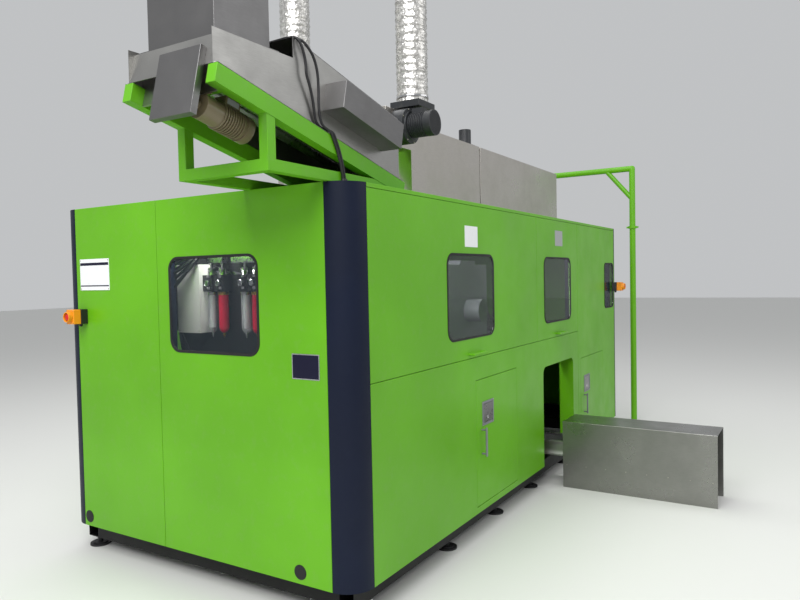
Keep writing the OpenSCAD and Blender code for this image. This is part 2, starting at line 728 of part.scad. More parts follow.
// Clamp places
first_cavity = 7;
clamp_x = wheel_x + (first_cavity + (cavities - 1) / 2) * pitch;
mould_l = cavities * pitch + 40;
mould_z = track_z + carrier_h + 22;
neck_h = 50;
plug_h = 60;
mould_h = neck_h + bottle_h + 40;
tie_x = mould_l / 2 + 45;
tie_low_z = deck_z + 48;
tie_high_z = mould_z + mould_h + 55;
tie_mid_z = (tie_low_z + tie_high_z) / 2;
tie_edge = 42;
platen_gap = 12;
cyl_l = 120;
cyl_d = 160;
ram_d = 60;
plate_in = clamp_stroke + mould_t + platen_t + 0.3 + platen_gap;
plate_top = tie_high_z + tie_edge + 60;
bridge_t = 30;
bridge_w = 240;
lift_d = 40;
base_cyl_d = 100;
base_t = 30;
plug_z = mould_z + neck_h + bottle_h;

// Machine bed: welded legs and rails under the deck plate
leg_y = [320, 1035, 1780];
leg_inset = (beam_w - leg_w) / 2;
deck_low = deck_z - deck_t;
chute_x = house_x + house_w / 2;
chute_w = 240;
chute_y = 425;
chute_l = 200;
rod_slot = 50;
module machine_bed() color(dark) {
  for (x = cross_x, y = leg_y) if (x > deck_in && x < cab_l - deck_in - beam_w)
    at(x + leg_inset, y, skirt_z) tube_z(deck_low - skirt_z, leg_w, leg_w);
  for (i = [1:len(cross_x) - 2], j = [0:len(leg_y) - 2])
    at(cross_x[i] + leg_inset, leg_y[j] + leg_w, deck_low - leg_w)
      tube_y(leg_y[j + 1] - leg_y[j] - leg_w, leg_w, leg_w);
  for (i = [1:len(cross_x) - 3], y = [leg_y[0], leg_y[2]])
    at(cross_x[i] + leg_inset + leg_w, y, deck_low - leg_w)
      tube_x(cross_x[i + 1] - cross_x[i] - leg_w, leg_w, leg_w);
  difference() {
    at(deck_in, deck_in, deck_low) cube([cab_l - 2 * deck_in, cab_w - 2 * deck_in, deck_t]);
    at(clamp_x - mould_l / 2, run_y - rod_slot / 2, deck_low - 1) cube([mould_l, rod_slot, deck_t + 2]);
    at(chute_x - chute_w / 2 + sheet_t, chute_y + sheet_t, deck_low - 1)
      cube([chute_w - 2 * sheet_t, chute_l - 2 * sheet_t, deck_t + 2]);
  }
  at(chute_x - chute_w / 2, chute_y, chute_z) difference() {
    cube([chute_w, chute_l, deck_low - chute_z]);
    translate([sheet_t, sheet_t, -1]) cube([chute_w - 2 * sheet_t, chute_l - 2 * sheet_t, deck_low - chute_z + 2]);
  }
}
chute_z = belt_top + 260;

// Track: two rails under the carriers, on pillars; wheel bearings and chain drive
rail_in = 8;
rail_out = 40;
pillar_d = 36;
tie_bar_h = 10;
bearing_d = 150;
bearing_h = 70;
axle_d = 50;
front_pillars = [1, 3, 5, 12.5, 15.5, 18];
rear_pillars = [1, 5, 10, 15, 19];
module stadium(r) {
  translate([wheel_x, wheel_y - r]) square([wheel_2_x - wheel_x, 2 * r]);
  for (x = [wheel_x, wheel_2_x]) translate([x, wheel_y]) circle(r = r, $fn = 128);
}
module pillar(x, y, along) at(x, y, deck_z) {
  cylinder(d = pillar_d, h = track_h - track_t - tie_bar_h);
  up(track_h - track_t - tie_bar_h) linear_extrude(tie_bar_h)
    square(along ? [2 * rail_out, pillar_d] : [pillar_d, 2 * rail_out], center = true);
}
module chain_track() color(steel) {
  at(0, 0, track_z - track_t) linear_extrude(track_t) {
    difference() {
      stadium(wheel_r + rail_out);
      stadium(wheel_r + rail_in);
    }
    difference() {
      stadium(wheel_r - rail_in);
      stadium(wheel_r - rail_out);
    }
  }
  for (i = front_pillars) pillar(wheel_x + i * pitch, run_y, false);
  for (i = rear_pillars) pillar(wheel_x + i * pitch, back_y, false);
  pillar(wheel_x - wheel_r, wheel_y, true);
  pillar(wheel_2_x + wheel_r, wheel_y, true);
  for (x = [wheel_x, wheel_2_x]) at(x, wheel_y, deck_z) difference() {
    union() {
      cylinder(d = bearing_d, h = 16);
      cylinder(d = bearing_d * 0.66, h = bearing_h);
    }
    up(8) cylinder(d = axle_d + 2 * pin_clear, h = bearing_h);
  }
  at(wheel_2_x, wheel_y, deck_low - 0.3) mirror([0, 0, 1]) {
    cylinder(d = bearing_d, h = 20);
    translate([-75, -60, 20]) cube([150, 120, 130]);
    translate([75, 0, 85]) along_x() cylinder(d = 130, h = 210);
  }
}

// Carrier: body, collar for the links, seat ring and grooved mandrel, bored for the stretch rod
collar_d = 30;
collar_h = 2 * link_t + 1.5;
seat_d = 44;
seat_h = 5;
groove_d = 2;
module carrier_profile() difference() {
  union() {
    square([carrier_d / 2, carrier_h]);
    translate([0, carrier_h - 1]) square([collar_d / 2, collar_h + 1.5]);
    translate([0, carrier_h + collar_h]) square([seat_d / 2, seat_h]);
    translate([0, carrier_h]) square([mandrel_d / 2, mandrel_h]);
  }
  for (k = [1:3]) translate([(mandrel_d - groove_d) / 2, carrier_h + collar_h + seat_h + k * 12])
    square([groove_d, 3]);
  translate([-1, -1]) square([mandrel_bore / 2 + 1, carrier_h + mandrel_h + 2]);
}
link_eye = 20;
link_bore = collar_d / 2 + 0.3;
module link_plate() difference() {
  union() {
    circle(r = link_eye);
    translate([pitch, 0]) circle(r = link_eye);
    translate([0, -link_eye * 0.6]) square([pitch, link_eye * 1.2]);
  }
  circle(r = link_bore);
  translate([pitch, 0]) circle(r = link_bore);
}
module carrier_chain() color(steel) {
  for (i = [0:2 * half_n - 1]) {
    p = carrier_at(i);
    q = carrier_at((i + 1) % (2 * half_n));
    at(p[0], p[1], track_z + 0.2) rotate_extrude($fn = 32) carrier_profile();
    at(p[0], p[1], track_z + 0.5 + carrier_h + (i % 2) * (link_t + 0.3))
      rotate([0, 0, atan2(q[1] - p[1], q[0] - p[0])]) linear_extrude(link_t) link_plate();
  }
}

// Index wheel with a pocket for each carrier, six windows, hub and shaft
wheel_up = 8;
module index_wheel(x) at(x, wheel_y, track_z + wheel_up) {
  linear_extrude(wheel_t) difference() {
    circle(r = wheel_r - 6, $fn = 128);
    for (k = [1:wheel_n]) rotate(k * step) translate([wheel_r, 0]) circle(r = carrier_d / 2 + 1);
    for (k = [0:5]) rotate(k * 60) translate([wheel_r * 0.52, 0]) circle(d = wheel_r * 0.36);
  }
  up(wheel_t - 1) cylinder(d = 120, h = 31);
  up(-wheel_up - track_h + bearing_h + 6) cylinder(d = 96, h = wheel_up + track_h - bearing_h - 6 + eps);
  up(-wheel_up - track_h + 12) cylinder(d = axle_d, h = wheel_up + track_h);
}
module index_wheel_left() color("slategray") index_wheel(wheel_x);
module index_wheel_right() color("slategray") index_wheel(wheel_2_x);

// Lamp boxes behind the rear run, slotted reflectors inside the loop
lamp_side = 75;
lamp_box_d = 120;
lamp_low = track_z + carrier_h + 20;
lamp_box_h = lamp_n * lamp_gap + 36;
lamp_end_t = 6;
lamp_boxes_x = [wheel_x + 150, wheel_2_x - 150 - lamp_box_l];
reflector_t = 8;
lamp_leg = 50;
lamp_legs = [120, lamp_box_l - 120 - lamp_leg];
module lamp_box() difference() {
  union() {
    cube([lamp_box_l, lamp_box_d, lamp_box_h]);
    for (x = lamp_legs) translate([x, lamp_box_d / 2, deck_z - lamp_low]) cube([lamp_leg, lamp_leg, lamp_low - deck_z]);
  }
  translate([lamp_end_t, -1, lamp_end_t])
    cube([lamp_box_l - 2 * lamp_end_t, lamp_box_d - lamp_end_t + 1, lamp_box_h - 2 * lamp_end_t]);
  for (k = [1:lamp_n]) translate([-1, lamp_d * 1.5, lamp_gap * k]) along_x()
    cylinder(d = lamp_d + 0.6, h = lamp_box_l + 2);
}
module reflector() difference() {
  union() {
    cube([lamp_box_l, reflector_t, lamp_box_h]);
    for (x = lamp_legs) translate([x, -lamp_leg + reflector_t, deck_z - lamp_low])
      cube([lamp_leg, lamp_leg - reflector_t, lamp_low - deck_z + 60]);
  }
  for (k = [0:13]) translate([30 + k * (lamp_box_l - 60) / 14, -1, 80]) cube([10, reflector_t + 2, lamp_box_h - 110]);
}
module oven_lamp_boxes() color(steel) for (x = lamp_boxes_x) {
  at(x, back_y + lamp_side, lamp_low) lamp_box();
  at(x, back_y - lamp_side - reflector_t, lamp_low) reflector();
}
module quartz_lamp() along_x() {
  up(-10) cylinder(d = lamp_d, h = lamp_box_l + 20);
  for (z = [-30, lamp_box_l + 2]) up(z) cylinder(d = lamp_d * 1.5, h = 28);
}
module oven_lamps() color("gold") for (x = lamp_boxes_x, k = [0:lamp_n - 1])
  at(x, back_y + lamp_side + lamp_d * 1.5, lamp_low + lamp_gap * (k + 1)) quartz_lamp();

// Fixed clamp frame: end plates, tie bars, cylinders, bridge, stretch guides
guide_d = 30;
guide_x = mould_l / 2 - 30;
guide_low = deck_low - 430;
slide_t = 30;
stretch_z = guide_low + 50;
module clamp_end(side) {
  y0 = side < 0 ? run_y - plate_in - plate_t : run_y + plate_in;
  difference() {
    union() {
      at(clamp_x - tie_x - tie_edge, y0, deck_z)
        cube([2 * (tie_x + tie_edge), plate_t, plate_top - deck_z]);
      at(clamp_x, side < 0 ? y0 + 1 : y0 + plate_t - 1, tie_mid_z) rotate([-side * 90, 0, 0])
        cylinder(d = cyl_d, h = cyl_l);
    }
    at(clamp_x, run_y + side * (plate_in - 1), tie_mid_z) rotate([-side * 90, 0, 0])
      cylinder(d = ram_d + 2 * pin_clear, h = plate_t + cyl_l - 10);
  }
}
module clamp_frame() color(steel) {
  clamp_end(-1);
  clamp_end(1);
  for (x = [-tie_x, tie_x], z = [tie_low_z, tie_high_z])
    at(clamp_x + x, run_y + plate_in + eps, z) to_front() cylinder(d = tie_d, h = 2 * plate_in + 2 * eps);
  difference() {
    union() {
      at(clamp_x - bridge_w / 2, run_y - plate_in - plate_t, plate_top)
        cube([bridge_w, 2 * (plate_in + plate_t), bridge_t]);
      at(clamp_x, run_y, plate_top + bridge_t - 1) cylinder(d = base_cyl_d, h = cyl_l);
    }
    at(clamp_x, run_y, plate_top - 1) cylinder(d = lift_d + 2 * pin_clear, h = bridge_t + cyl_l - 10);
  }
  for (x = [-guide_x, guide_x]) at(clamp_x + x, run_y - rod_off, guide_low)
    cylinder(d = guide_d, h = deck_low - guide_low - 0.3);
  at(clamp_x - mould_l / 2, run_y - rod_off - 35, guide_low - 20) cube([mould_l, 70, 20 + eps]);
}
rod_off = 62;

function cavity_x(k) = (k - (cavities - 1) / 2) * pitch;

// One cavity's outline: neck bore, shoulder, ribbed body, open top for the base plug
module cavity_profile() {
  neck_r = mandrel_d / 2 + 5;
  body_r = bottle_d / 2;
  difference() {
    polygon([[0, -1], [neck_r, -1], [neck_r, neck_h * 0.7], [body_r, neck_h + 45],
      [body_r, mould_h + 1], [0, mould_h + 1]]);
    for (k = [0:4]) translate([body_r, neck_h + 75 + k * 22]) circle(r = 3, $fn = 16);
  }
}
module mould_half() difference() {
  translate([-mould_l / 2, -mould_t, 0]) cube([mould_l, mould_t - 0.2, mould_h]);
  for (k = [0:cavities - 1]) translate([cavity_x(k), 0, 0]) rotate_extrude() cavity_profile();
  for (z = [35, mould_h - 35]) translate([-mould_l / 2 - 1, -mould_t * 0.5, z]) along_x() cylinder(d = 12, h = 40);
}
module platen() {
  back = mould_t + 0.3 + platen_t;
  difference() {
    translate([-tie_x - tie_edge, -back, tie_low_z - tie_edge + 2 - mould_z])
      cube([2 * (tie_x + tie_edge), platen_t, tie_high_z - tie_low_z + 2 * tie_edge - 2]);
    for (x = [-tie_x, tie_x], z = [tie_low_z, tie_high_z]) translate([x, -back - 1, z - mould_z]) to_back()
      cylinder(d = tie_d + 2 * pin_clear, h = platen_t + 2);
  }
  translate([0, -back + 1, tie_mid_z - mould_z]) to_front()
    cylinder(d = ram_d, h = platen_gap + plate_t + cyl_l - 30);
}
module clamp_half() {
  mould_half();
  platen();
}
module clamp_half_front() color("lightsteelblue") at(clamp_x, run_y - clamp_stroke, mould_z) clamp_half();
module clamp_half_rear() color("lightsteelblue") at(clamp_x, run_y + clamp_stroke, mould_z) mirror([0, 1, 0]) clamp_half();

// Base mould: plugs under a plate on its cylinder's rod; rest is its lower stop
module base_mould() color("lightsteelblue") at(clamp_x, run_y, plug_z) {
  for (k = [0:cavities - 1]) translate([cavity_x(k), 0, 0]) difference() {
    cylinder(d = bottle_d - 1, h = plug_h + eps);
    up(-bottle_d * 0.9) sphere(d = bottle_d * 2);
  }
  translate([-mould_l / 2, -bottle_d / 2 - 10, plug_h]) cube([mould_l, bottle_d + 20, base_t]);
  up(plug_h + base_t - 1) cylinder(d = lift_d, h = plate_top + bridge_t + 30 - plug_z - plug_h - base_t);
}

// Stretch unit: rods on a plate that slides up its two guides under the deck
rod_tip = track_z - track_t - 8;
module stretch_unit() color("lightsteelblue") {
  difference() {
    at(clamp_x - mould_l / 2, run_y - rod_off - 35, stretch_z) cube([mould_l, rod_off + 35 + 30, slide_t]);
    for (x = [-guide_x, guide_x]) at(clamp_x + x, run_y - rod_off, stretch_z - 1)
      cylinder(d = guide_d + 2 * pin_clear, h = slide_t + 2);
  }
  for (k = [0:cavities - 1]) at(clamp_x + cavity_x(k), run_y, stretch_z + slide_t - 1) {
    cylinder(d = 26, h = 25);
    cylinder(d = rod_d, h = rod_tip - stretch_z - slide_t + 1 - rod_d / 2);
    up(rod_tip - stretch_z - slide_t + 1 - rod_d / 2) sphere(d = rod_d);
  }
}

// Air service unit: filter sets behind the end window, receiver under the deck, manifold at the conveyor
service_x = 250;
service_y = win_end_y - 275;
service_w = 800;
service_h = 720;
set_y = [for (s = [500, 413, 245, 165]) service_y + s];
head_z = 1560;
head_s = 70;
bowl_d = 56;
bowl_l = 230;
tank_d = 380;
tank_y = 620;
tank_z = 450;
manifold_h = 300;
module bowl_set() {
  translate([-head_s, -head_s / 2, 0]) cube([head_s, head_s, 90]);
  translate([-head_s / 2, 0, 89]) cylinder(d = 44, h = 40);
  translate([-head_s / 2, 0, -bowl_l + bowl_d / 2]) {
    cylinder(d = bowl_d, h = bowl_l - bowl_d / 2 + 1);
    sphere(d = bowl_d);
  }
  translate([-head_s / 2, 0, -bowl_l - 12]) cylinder(d = 16, h = 20);
}
tank_t = 5;
tank_l = cross_x[3] - cross_x[2] + leg_w + 20;
module tank(inset) intersection() {
  up(inset) cylinder(d = tank_d - 2 * inset, h = tank_l - 2 * inset);
  up(tank_l / 2) sphere(r = tank_l / 2 + 10 - inset, $fn = 96);
}
module hose_loop(r) rotate([90, 0, 90]) rotate_extrude(angle = 180) translate([r, 0]) circle(d = 18, $fn = 24);
module air_service_unit() color(steel) {
  at(service_x, service_y, deck_z) cube([4, service_w, service_h]);
  for (y = set_y) at(service_x, y, head_z) bowl_set();
  at(service_x - 90, service_y + 540, head_z - 230) cube([90 + eps, 180, 380]);
  for (k = [0:2]) at(service_x - 24 - 22 * k, service_y + 690, head_z) {
    up(90) hose_loop(70 + 14 * k);
    for (s = [-1, 1]) translate([0, s * (70 + 14 * k), 74]) cylinder(d = 24, h = 18);
  }
  at(service_x - 80, service_y + 580, head_z + 60) cube([80 + eps, 210, 16]);
  at(cross_x[2] + leg_inset - 20, tank_y, tank_z) along_x() difference() {
    tank(0);
    tank(tank_t);
  }
  for (x = [cross_x[2], cross_x[3]]) difference() {
    at(x + leg_inset + 10, tank_y - 130, skirt_z) cube([60, 260, tank_z - skirt_z - 100]);
    at(x, tank_y, tank_z) along_x() cylinder(d = tank_d - 1, h = beam_w);
  }
  at(outlet_x + 12, beam_in + 10, skirt_z) {
    cube([60, 60, manifold_h]);
    for (k = [0:3]) translate([30, 1, 60 + k * 65]) to_front() {
      cylinder(d = 26, h = 14, $fn = 6);
      cylinder(d = 16, h = 34);
      up(33) along_x() cylinder(d = 18, h = 44, center = true);
    }
  }
}

// Electrical panel behind the lower right door
panel_x = low_door_r_x + 40;
panel_w = low_door_r_w - 120;
panel_tall = 760;
row = panel_tall / 760;
panel_y = 135;
module electrical_panel() color("gainsboro") at(panel_x, panel_y, skirt_z) {
  cube([panel_w, 4, panel_tall]);
  for (z = [90, 290, 490, 700] * row) translate([20, -50, z]) difference() {
    cube([panel_w - 40, 50 + eps, 40]);
    for (k = [1:floor((panel_w - 60) / 20)]) translate([20 * k - 10, -1, 12]) cube([8, 20, 29]);
  }
  for (k = [1:floor((panel_w - 30) / 135)]) translate([135 * k - 105, -70, 145 * row]) cube([110, 70 + eps, 125]);
  for (k = [1:floor((panel_w - 50) / 52)]) translate([52 * k - 22, -64, 345 * row]) {
    cube([44, 64 + eps, 90]);
    translate([8, -8, 30]) cube([28, 9, 30]);
  }
  for (k = [1:floor((panel_w - 50) / 29)]) translate([29 * k + 1, -58, 545 * row]) cube([24, 58 + eps, 100]);
}

// Sorter places: u down the slope, v across, w square to it; w = 0 on the chords
v_mid = sort_w / 2;
roller_v = (roller_d + roller_gap) / 2;
roller_w = 50;
brg_u = 60;
brg_t = 8;
wall_in = 25;
gear_u = 34;
gear_t = 16;
kick_u = 900;
kick_w = roller_w + roller_d / 2 + 22 + kicker_d / 2;
sort_run = sort_l * cos(slope);
sort_top = roof_z + sort_rise;
module incline() at(-sort_out, sort_y, sort_top) rotate([0, slope, 0]) children();
function chord_top(x) = sort_top - (x + sort_out) * tan(slope);
cover_x = cover_u - sort_out;
sort_end_x = sort_run - sort_out - 20;
rim_z = sort_top + rim_h;

module sorter_frame() color(green) {
  difference() {
    union() {
      incline() for (v = [0, sort_w - sort_tube]) translate([0, v, -chord_h]) cube([sort_l, sort_tube, chord_h]);
      incline() translate([brg_u + brg_t + 12, sort_tube - 1, 3 - sort_tube])
        cube([sort_tube, sort_w - 2 * sort_tube + 2, sort_tube - 6]);
      for (y = [2, sort_w - sort_tube + 2]) at(-sort_post_out, sort_y + y, roof_z) {
        cube([sort_post_out + sort_run - sort_out - 60, sort_tube - 4, sort_tube]);
        cube([sort_tube, sort_tube - 4, chord_top(-sort_post_out) - roof_z - chord_h / 2]);
      }
      for (x = [-sort_post_out, 320]) at(x, sort_y + sort_tube - 3, roof_z)
        cube([sort_tube, sort_w - 2 * sort_tube + 6, sort_tube]);
    }
    at(-sort_out - 100, 0, roof_z - 500) cube([sort_out + sort_l + 200, sort_y + sort_w + 100, 500]);
  }
}

// Side walls in upright planes, bearing plates, guide sheets and the feed rail into the cabinet
wall_foot = 1.3;
kick_x = kick_u * cos(slope) + kick_w * sin(slope) - sort_out;
kick_z = sort_top - kick_u * sin(slope) + kick_w * cos(slope);
boss_h = 12;
module side_wall(side) to_front() difference() {
  union() {
    linear_extrude(sheet_t) polygon([
      [-sort_out, chord_top(-sort_out) + wall_foot], [-sort_out, rim_z], [cover_x, rim_z],
      [cover_x, chord_top(cover_x) + cover_h], [sort_end_x, chord_top(sort_end_x) + cover_h],
      [sort_end_x, chord_top(sort_end_x) + wall_foot]]);
    translate([kick_x, kick_z, side < 0 ? 1 : -boss_h]) cylinder(d = 2.4 * kick_rod, h = boss_h + sheet_t - 1);
  }
  translate([kick_x, kick_z, -boss_h - 1]) cylinder(d = kick_rod + 2 * pin_clear, h = 2 * boss_h + sheet_t + 2);
}
module end_wall(top) difference() {
  union() {
    translate([0, sort_tube + 0.3, -chord_h]) cube([brg_t, sort_w - 2 * sort_tube - 0.6, chord_h + 5]);
    translate([0, wall_in + 1, 1.3]) cube([brg_t, sort_w - 2 * wall_in - 2, top]);
  }
  for (s = [-1, 1]) translate([-1, v_mid + s * roller_v, roller_w]) along_x()
    cylinder(d = shaft_d + 2 * pin_clear, h = brg_t + 2);
}
guide_t = 3;
guide_high = 125;
reach = 15;
module guide_sheet(s) translate([0, v_mid, 0]) rotate([90, 0, 90])
  linear_extrude(sort_l - 2 * brg_u - 2 * brg_t + 2) polygon([
  [s * (sort_w / 2 - wall_in - 1), guide_high], [s * (sort_w / 2 - wall_in - 1), guide_high + guide_t],
  [s * (roller_v + reach), roller_w + roller_d / 2 + 2], [s * (roller_v + reach), roller_w + roller_d / 2 - 1]]);
feed_from = [sort_end_x - 15, sort_y + v_mid, chord_top(sort_end_x) + roller_w + 20];
feed_to = [wheel_x, run_y, track_z + carrier_h + mandrel_h + 90];
feed_flat = norm([feed_to[0] - feed_from[0], feed_to[1] - feed_from[1]]);
feed_drop = feed_from[2] - feed_to[2];
feed_turn = atan2(feed_to[1] - feed_from[1], feed_to[0] - feed_from[0]);
feed_dip = atan2(feed_drop, feed_flat);
slot_mid = slot_x + slot_l / 2;
slot_y = feed_from[1] + (slot_mid - feed_from[0]) * tan(feed_turn) - slot_w / 2;
duct_deep = 9;
hood_holes = [hood_1_x + hood_1_l / 2, hood_1_x + hood_1_l + hood_gap + hood_2_l / 2];
module sorter_trough() color(steel) {
  at(0, sort_y + wall_in + sheet_t, 0) side_wall(-1);
  at(0, sort_y + sort_w - wall_in, 0) side_wall(1);
  incline() {
    for (v = [0, sort_w - wall_in - sheet_t]) translate([0, v, 0.3]) cube([sort_l - 22, wall_in + sheet_t, skin_t]);
    translate([brg_u, 0, 0]) end_wall(110);
    translate([sort_l - brg_u - brg_t, 0, 0]) end_wall(150);
    translate([brg_u + brg_t - 1, 0, 0]) {
      guide_sheet(1);
      guide_sheet(-1);
    }
    translate([0, wall_in + 1, 1.3]) cube([sheet_t, sort_w - 2 * wall_in - 2, rim_h * 0.9]);
    translate([sort_l - brg_u - 1, v_mid - 17.5, roller_w - 20]) cube([30, 35, 12]);
  }
  at(feed_from[0], feed_from[1], feed_from[2]) rotate([0, 0, feed_turn]) rotate([0, feed_dip, 0])
    for (s = [-1, 1]) translate([0, s * 15 - 2.5, -20]) cube([norm([feed_flat, feed_drop]), 5, 40]);
}

// Lid, infeed chute, kicker drive cover and drive guard
chute_in_x = 60;
chute_in_l = 310;
chute_in_y = 75;
chute_in_w = 380;
chute_in_top = 350;
kick_box_u = 650;
kick_box_l = 500;
kick_box_w = 97;
kick_box_h = 131;
kick_box_d = 118;
guard_d = 30;
module sheet_box(l, w, h) difference() {
  cube([l, w, h]);
  translate([sheet_t, sheet_t, -1]) cube([l - 2 * sheet_t, w - 2 * sheet_t, h - sheet_t + 1]);
}
module sorter_covers() color(steel) {
  at(0, sort_y + sort_w - wall_in, 0) to_front() linear_extrude(sort_w - 2 * wall_in) polygon([
    [cover_x, chord_top(cover_x) + cover_h + 0.3], [cover_x, chord_top(cover_x) + cover_h + sheet_t + 0.3],
    [sort_end_x, chord_top(sort_end_x) + cover_h + sheet_t + 0.3], [sort_end_x, chord_top(sort_end_x) + cover_h + 0.3]]);
  at(chute_in_x - sort_out, sort_y + chute_in_y, rim_z - 30) difference() {
    union() {
      cube([chute_in_l, chute_in_w, chute_in_top + 30]);
      translate([0, wall_in - chute_in_y, 30.3]) cube([chute_in_l, sort_w - 2 * wall_in, sheet_t]);
    }
    translate([sheet_t, sheet_t, -1]) cube([chute_in_l - 2 * sheet_t, chute_in_w - 2 * sheet_t, chute_in_top + 32]);
  }
  incline() {
    translate([kick_box_u, wall_in - kick_box_d - 0.3, kick_box_w]) difference() {
      cube([kick_box_l, kick_box_d, kick_box_h]);
      translate([sheet_t, sheet_t, sheet_t]) cube([kick_box_l - 2 * sheet_t, kick_box_d, kick_box_h - 2 * sheet_t]);
    }
    translate([-guard_d - 0.3, 70, -200]) difference() {
      cube([guard_d, 230, 270]);
      translate([sheet_t, sheet_t, sheet_t]) cube([guard_d, 230 - 2 * sheet_t, 270 - 2 * sheet_t]);
    }
  }
}

// Spur gear outline, tooth k centred on k pitches
function gear_points(n, r, hi, lo) = [
  for (k = [1:n], p = [[-0.3, -lo], [-0.2, 0], [-0.1, hi], [0.1, hi], [0.2, 0], [0.3, -lo]])
  let (a = (k + p[0]) * 360 / n) [(r + p[1]) * cos(a), (r + p[1]) * sin(a)]];
module sorter_roller(s) incline() translate([0, v_mid + s * roller_v, roller_w]) along_x() {
  up(brg_u + brg_t + 2) cylinder(d = roller_d, h = sort_l - 2 * brg_u - 2 * brg_t - 4);
  up(s < 0 ? 18 : gear_u - 4) cylinder(d = shaft_d, h = sort_l - brg_u + 6 - (s < 0 ? 18 : gear_u - 4));
  up(gear_u) rotate([0, 0, s > 0 ? 180 / gear_n : 0]) linear_extrude(gear_t)
    rotate([0, 0, 90]) polygon(gear_points(gear_n, roller_v, 3.2, 4.4));
}
module sorter_roller_front() color("dimgray") sorter_roller(-1);
module sorter_roller_rear() color("dimgray") sorter_roller(1);

// Gearmotor under the upper end: closed gear case outside the bearing plate, finned motor inside
motor_v = 150;
motor_w = -118;
motor_d = 118;
motor_l = 170;
case_u = 6;
case_t = 22;
case_r = 38;
fins = 9;
module sorter_gearmotor() color("peru") incline() {
  difference() {
    translate([case_u, 0, 0]) rotate([90, 0, 90]) linear_extrude(case_t) {
      translate([motor_v, motor_w]) circle(r = case_r);
      translate([v_mid - roller_v, roller_w]) circle(r = case_r * 0.7);
      translate([motor_v, motor_w]) rotate([0, 0, atan2(roller_w - motor_w, v_mid - roller_v - motor_v)])
        translate([0, -case_r * 0.7]) square([norm([roller_w - motor_w, v_mid - roller_v - motor_v]), case_r * 1.4]);
    }
    translate([14, v_mid - roller_v, roller_w]) along_x() cylinder(d = shaft_d + 2 * pin_clear, h = case_t);
  }
  translate([case_u + case_t - 1, motor_v, motor_w]) along_x() cylinder(d = 30, h = brg_u + brg_t - case_u - case_t + 2);
  translate([brg_u + brg_t, motor_v, motor_w]) along_x() {
    cylinder(d = 104, h = 84);
    up(83) cylinder(d = motor_d - 14, h = motor_l);
    for (k = [0:fins - 1]) up(92 + k * 13) cylinder(d = motor_d, h = 5);
    up(83 + motor_l - 34) cylinder(d = motor_d, h = 36);
  }
  translate([brg_u + brg_t + 100, motor_v - 34, motor_w + motor_d / 2 - 12]) cube([80, 68, 36]);
  translate([brg_u + brg_t, motor_v - 60, motor_w + 40]) cube([6, 120, -motor_w - 40 - chord_h + 20]);
}

// Kicker wheel: shaft across the trough with a hub and four rubber paddles
kick_rod = 18;
paddle_t = 5;
paddle_w = 70;
module kicker_wheel() color("black") incline() translate([kick_u, 0, kick_w]) {
  translate([0, wall_in - boss_h - 4, 0]) to_back()
    cylinder(d = kick_rod, h = sort_w - 2 * (wall_in - boss_h - 4));
  translate([0, v_mid - paddle_w / 2, 0]) to_back() cylinder(d = 46, h = paddle_w);
  for (a = [0:90:270]) rotate([0, a, 0]) translate([20, v_mid - paddle_w / 2, -paddle_t / 2])
    cube([kicker_d / 2 - 20, paddle_w, paddle_t]);
}

// Hoods on the roof with the suction box for the blower
suck_l = 290;
suck_w = 220;
suck_z = 350;
suck_h = 220;
fan_x = hood_1_x - 160;
fan_up = 460;
fan_r = 105;
fan_t = 96;
fan_hole = 120;
module roof_hoods() color(steel) {
  difference() {
    union() {
      at(hood_1_x, hood_y, roof_z) sheet_box(hood_1_l, hood_w, hood_h);
      at(hood_1_x - suck_l, hood_y, roof_z + suck_z) difference() {
        cube([suck_l + eps, suck_w, suck_h]);
        translate([sheet_t, sheet_t, sheet_t]) cube([suck_l, suck_w - 2 * sheet_t, suck_h - 2 * sheet_t]);
      }
    }
    at(hood_1_x - 10, hood_y + 20, roof_z + suck_z + 20) cube([20, suck_w - 40, hood_h - suck_z - 40]);
    at(fan_x, hood_y - 1, roof_z + fan_up) to_back() cylinder(d = fan_hole, h = sheet_t + 2);
  }
  at(hood_1_x + hood_1_l + hood_gap, hood_y, roof_z) sheet_box(hood_2_l, hood_w, hood_h);
}

// Blower on the suction box: volute, up-going outlet, motor with its cowl towards the front
neck_x = 30;
neck_w = 150;
neck_top = 620;
duct_2_x = fan_x + neck_x + neck_w / 2;
duct_2_y = hood_y - fan_t / 2;
cowl_l = 46;
module blower() color("dimgray") {
  at(fan_x, hood_y - 0.3, roof_z + fan_up) to_front() {
    cylinder(r = fan_r, h = fan_t);
    translate([neck_x, 0, 0]) cube([neck_w - neck_x - 20, neck_top - fan_up - 35, fan_t]);
    up(fan_t - 1) {
      cylinder(d = fan_motor_d + 20, h = 12);
      cylinder(d = fan_motor_d - 14, h = fan_l);
      for (k = [0:7]) up(20 + k * 12) cylinder(d = fan_motor_d - 2, h = 5);
      up(fan_l - cowl_l) difference() {
        cylinder(d = fan_motor_d, h = cowl_l);
        for (r = [18:14:60]) up(cowl_l - 4) difference() {
          cylinder(r = r + 6, h = 5);
          up(-1) cylinder(r = r, h = 7);
        }
      }
    }
    translate([-30, 50, fan_t + 24]) cube([60, 44, 70]);
  }
  at(duct_2_x, duct_2_y, roof_z + neck_top - 40) {
    translate([-duct_d / 2, -duct_d / 2, 0]) cube([duct_d, duct_d, 40]);
    up(39) cylinder(d = duct_d - 2 * duct_deep - 6, h = 45);
  }
  at(hood_1_x + hood_1_l - 150, hood_y + 20, roof_z + hood_h + 0.3) {
    cube([120, 110, 10]);
    translate([60, 55, 9]) cylinder(d = 90, h = 110);
  }
}

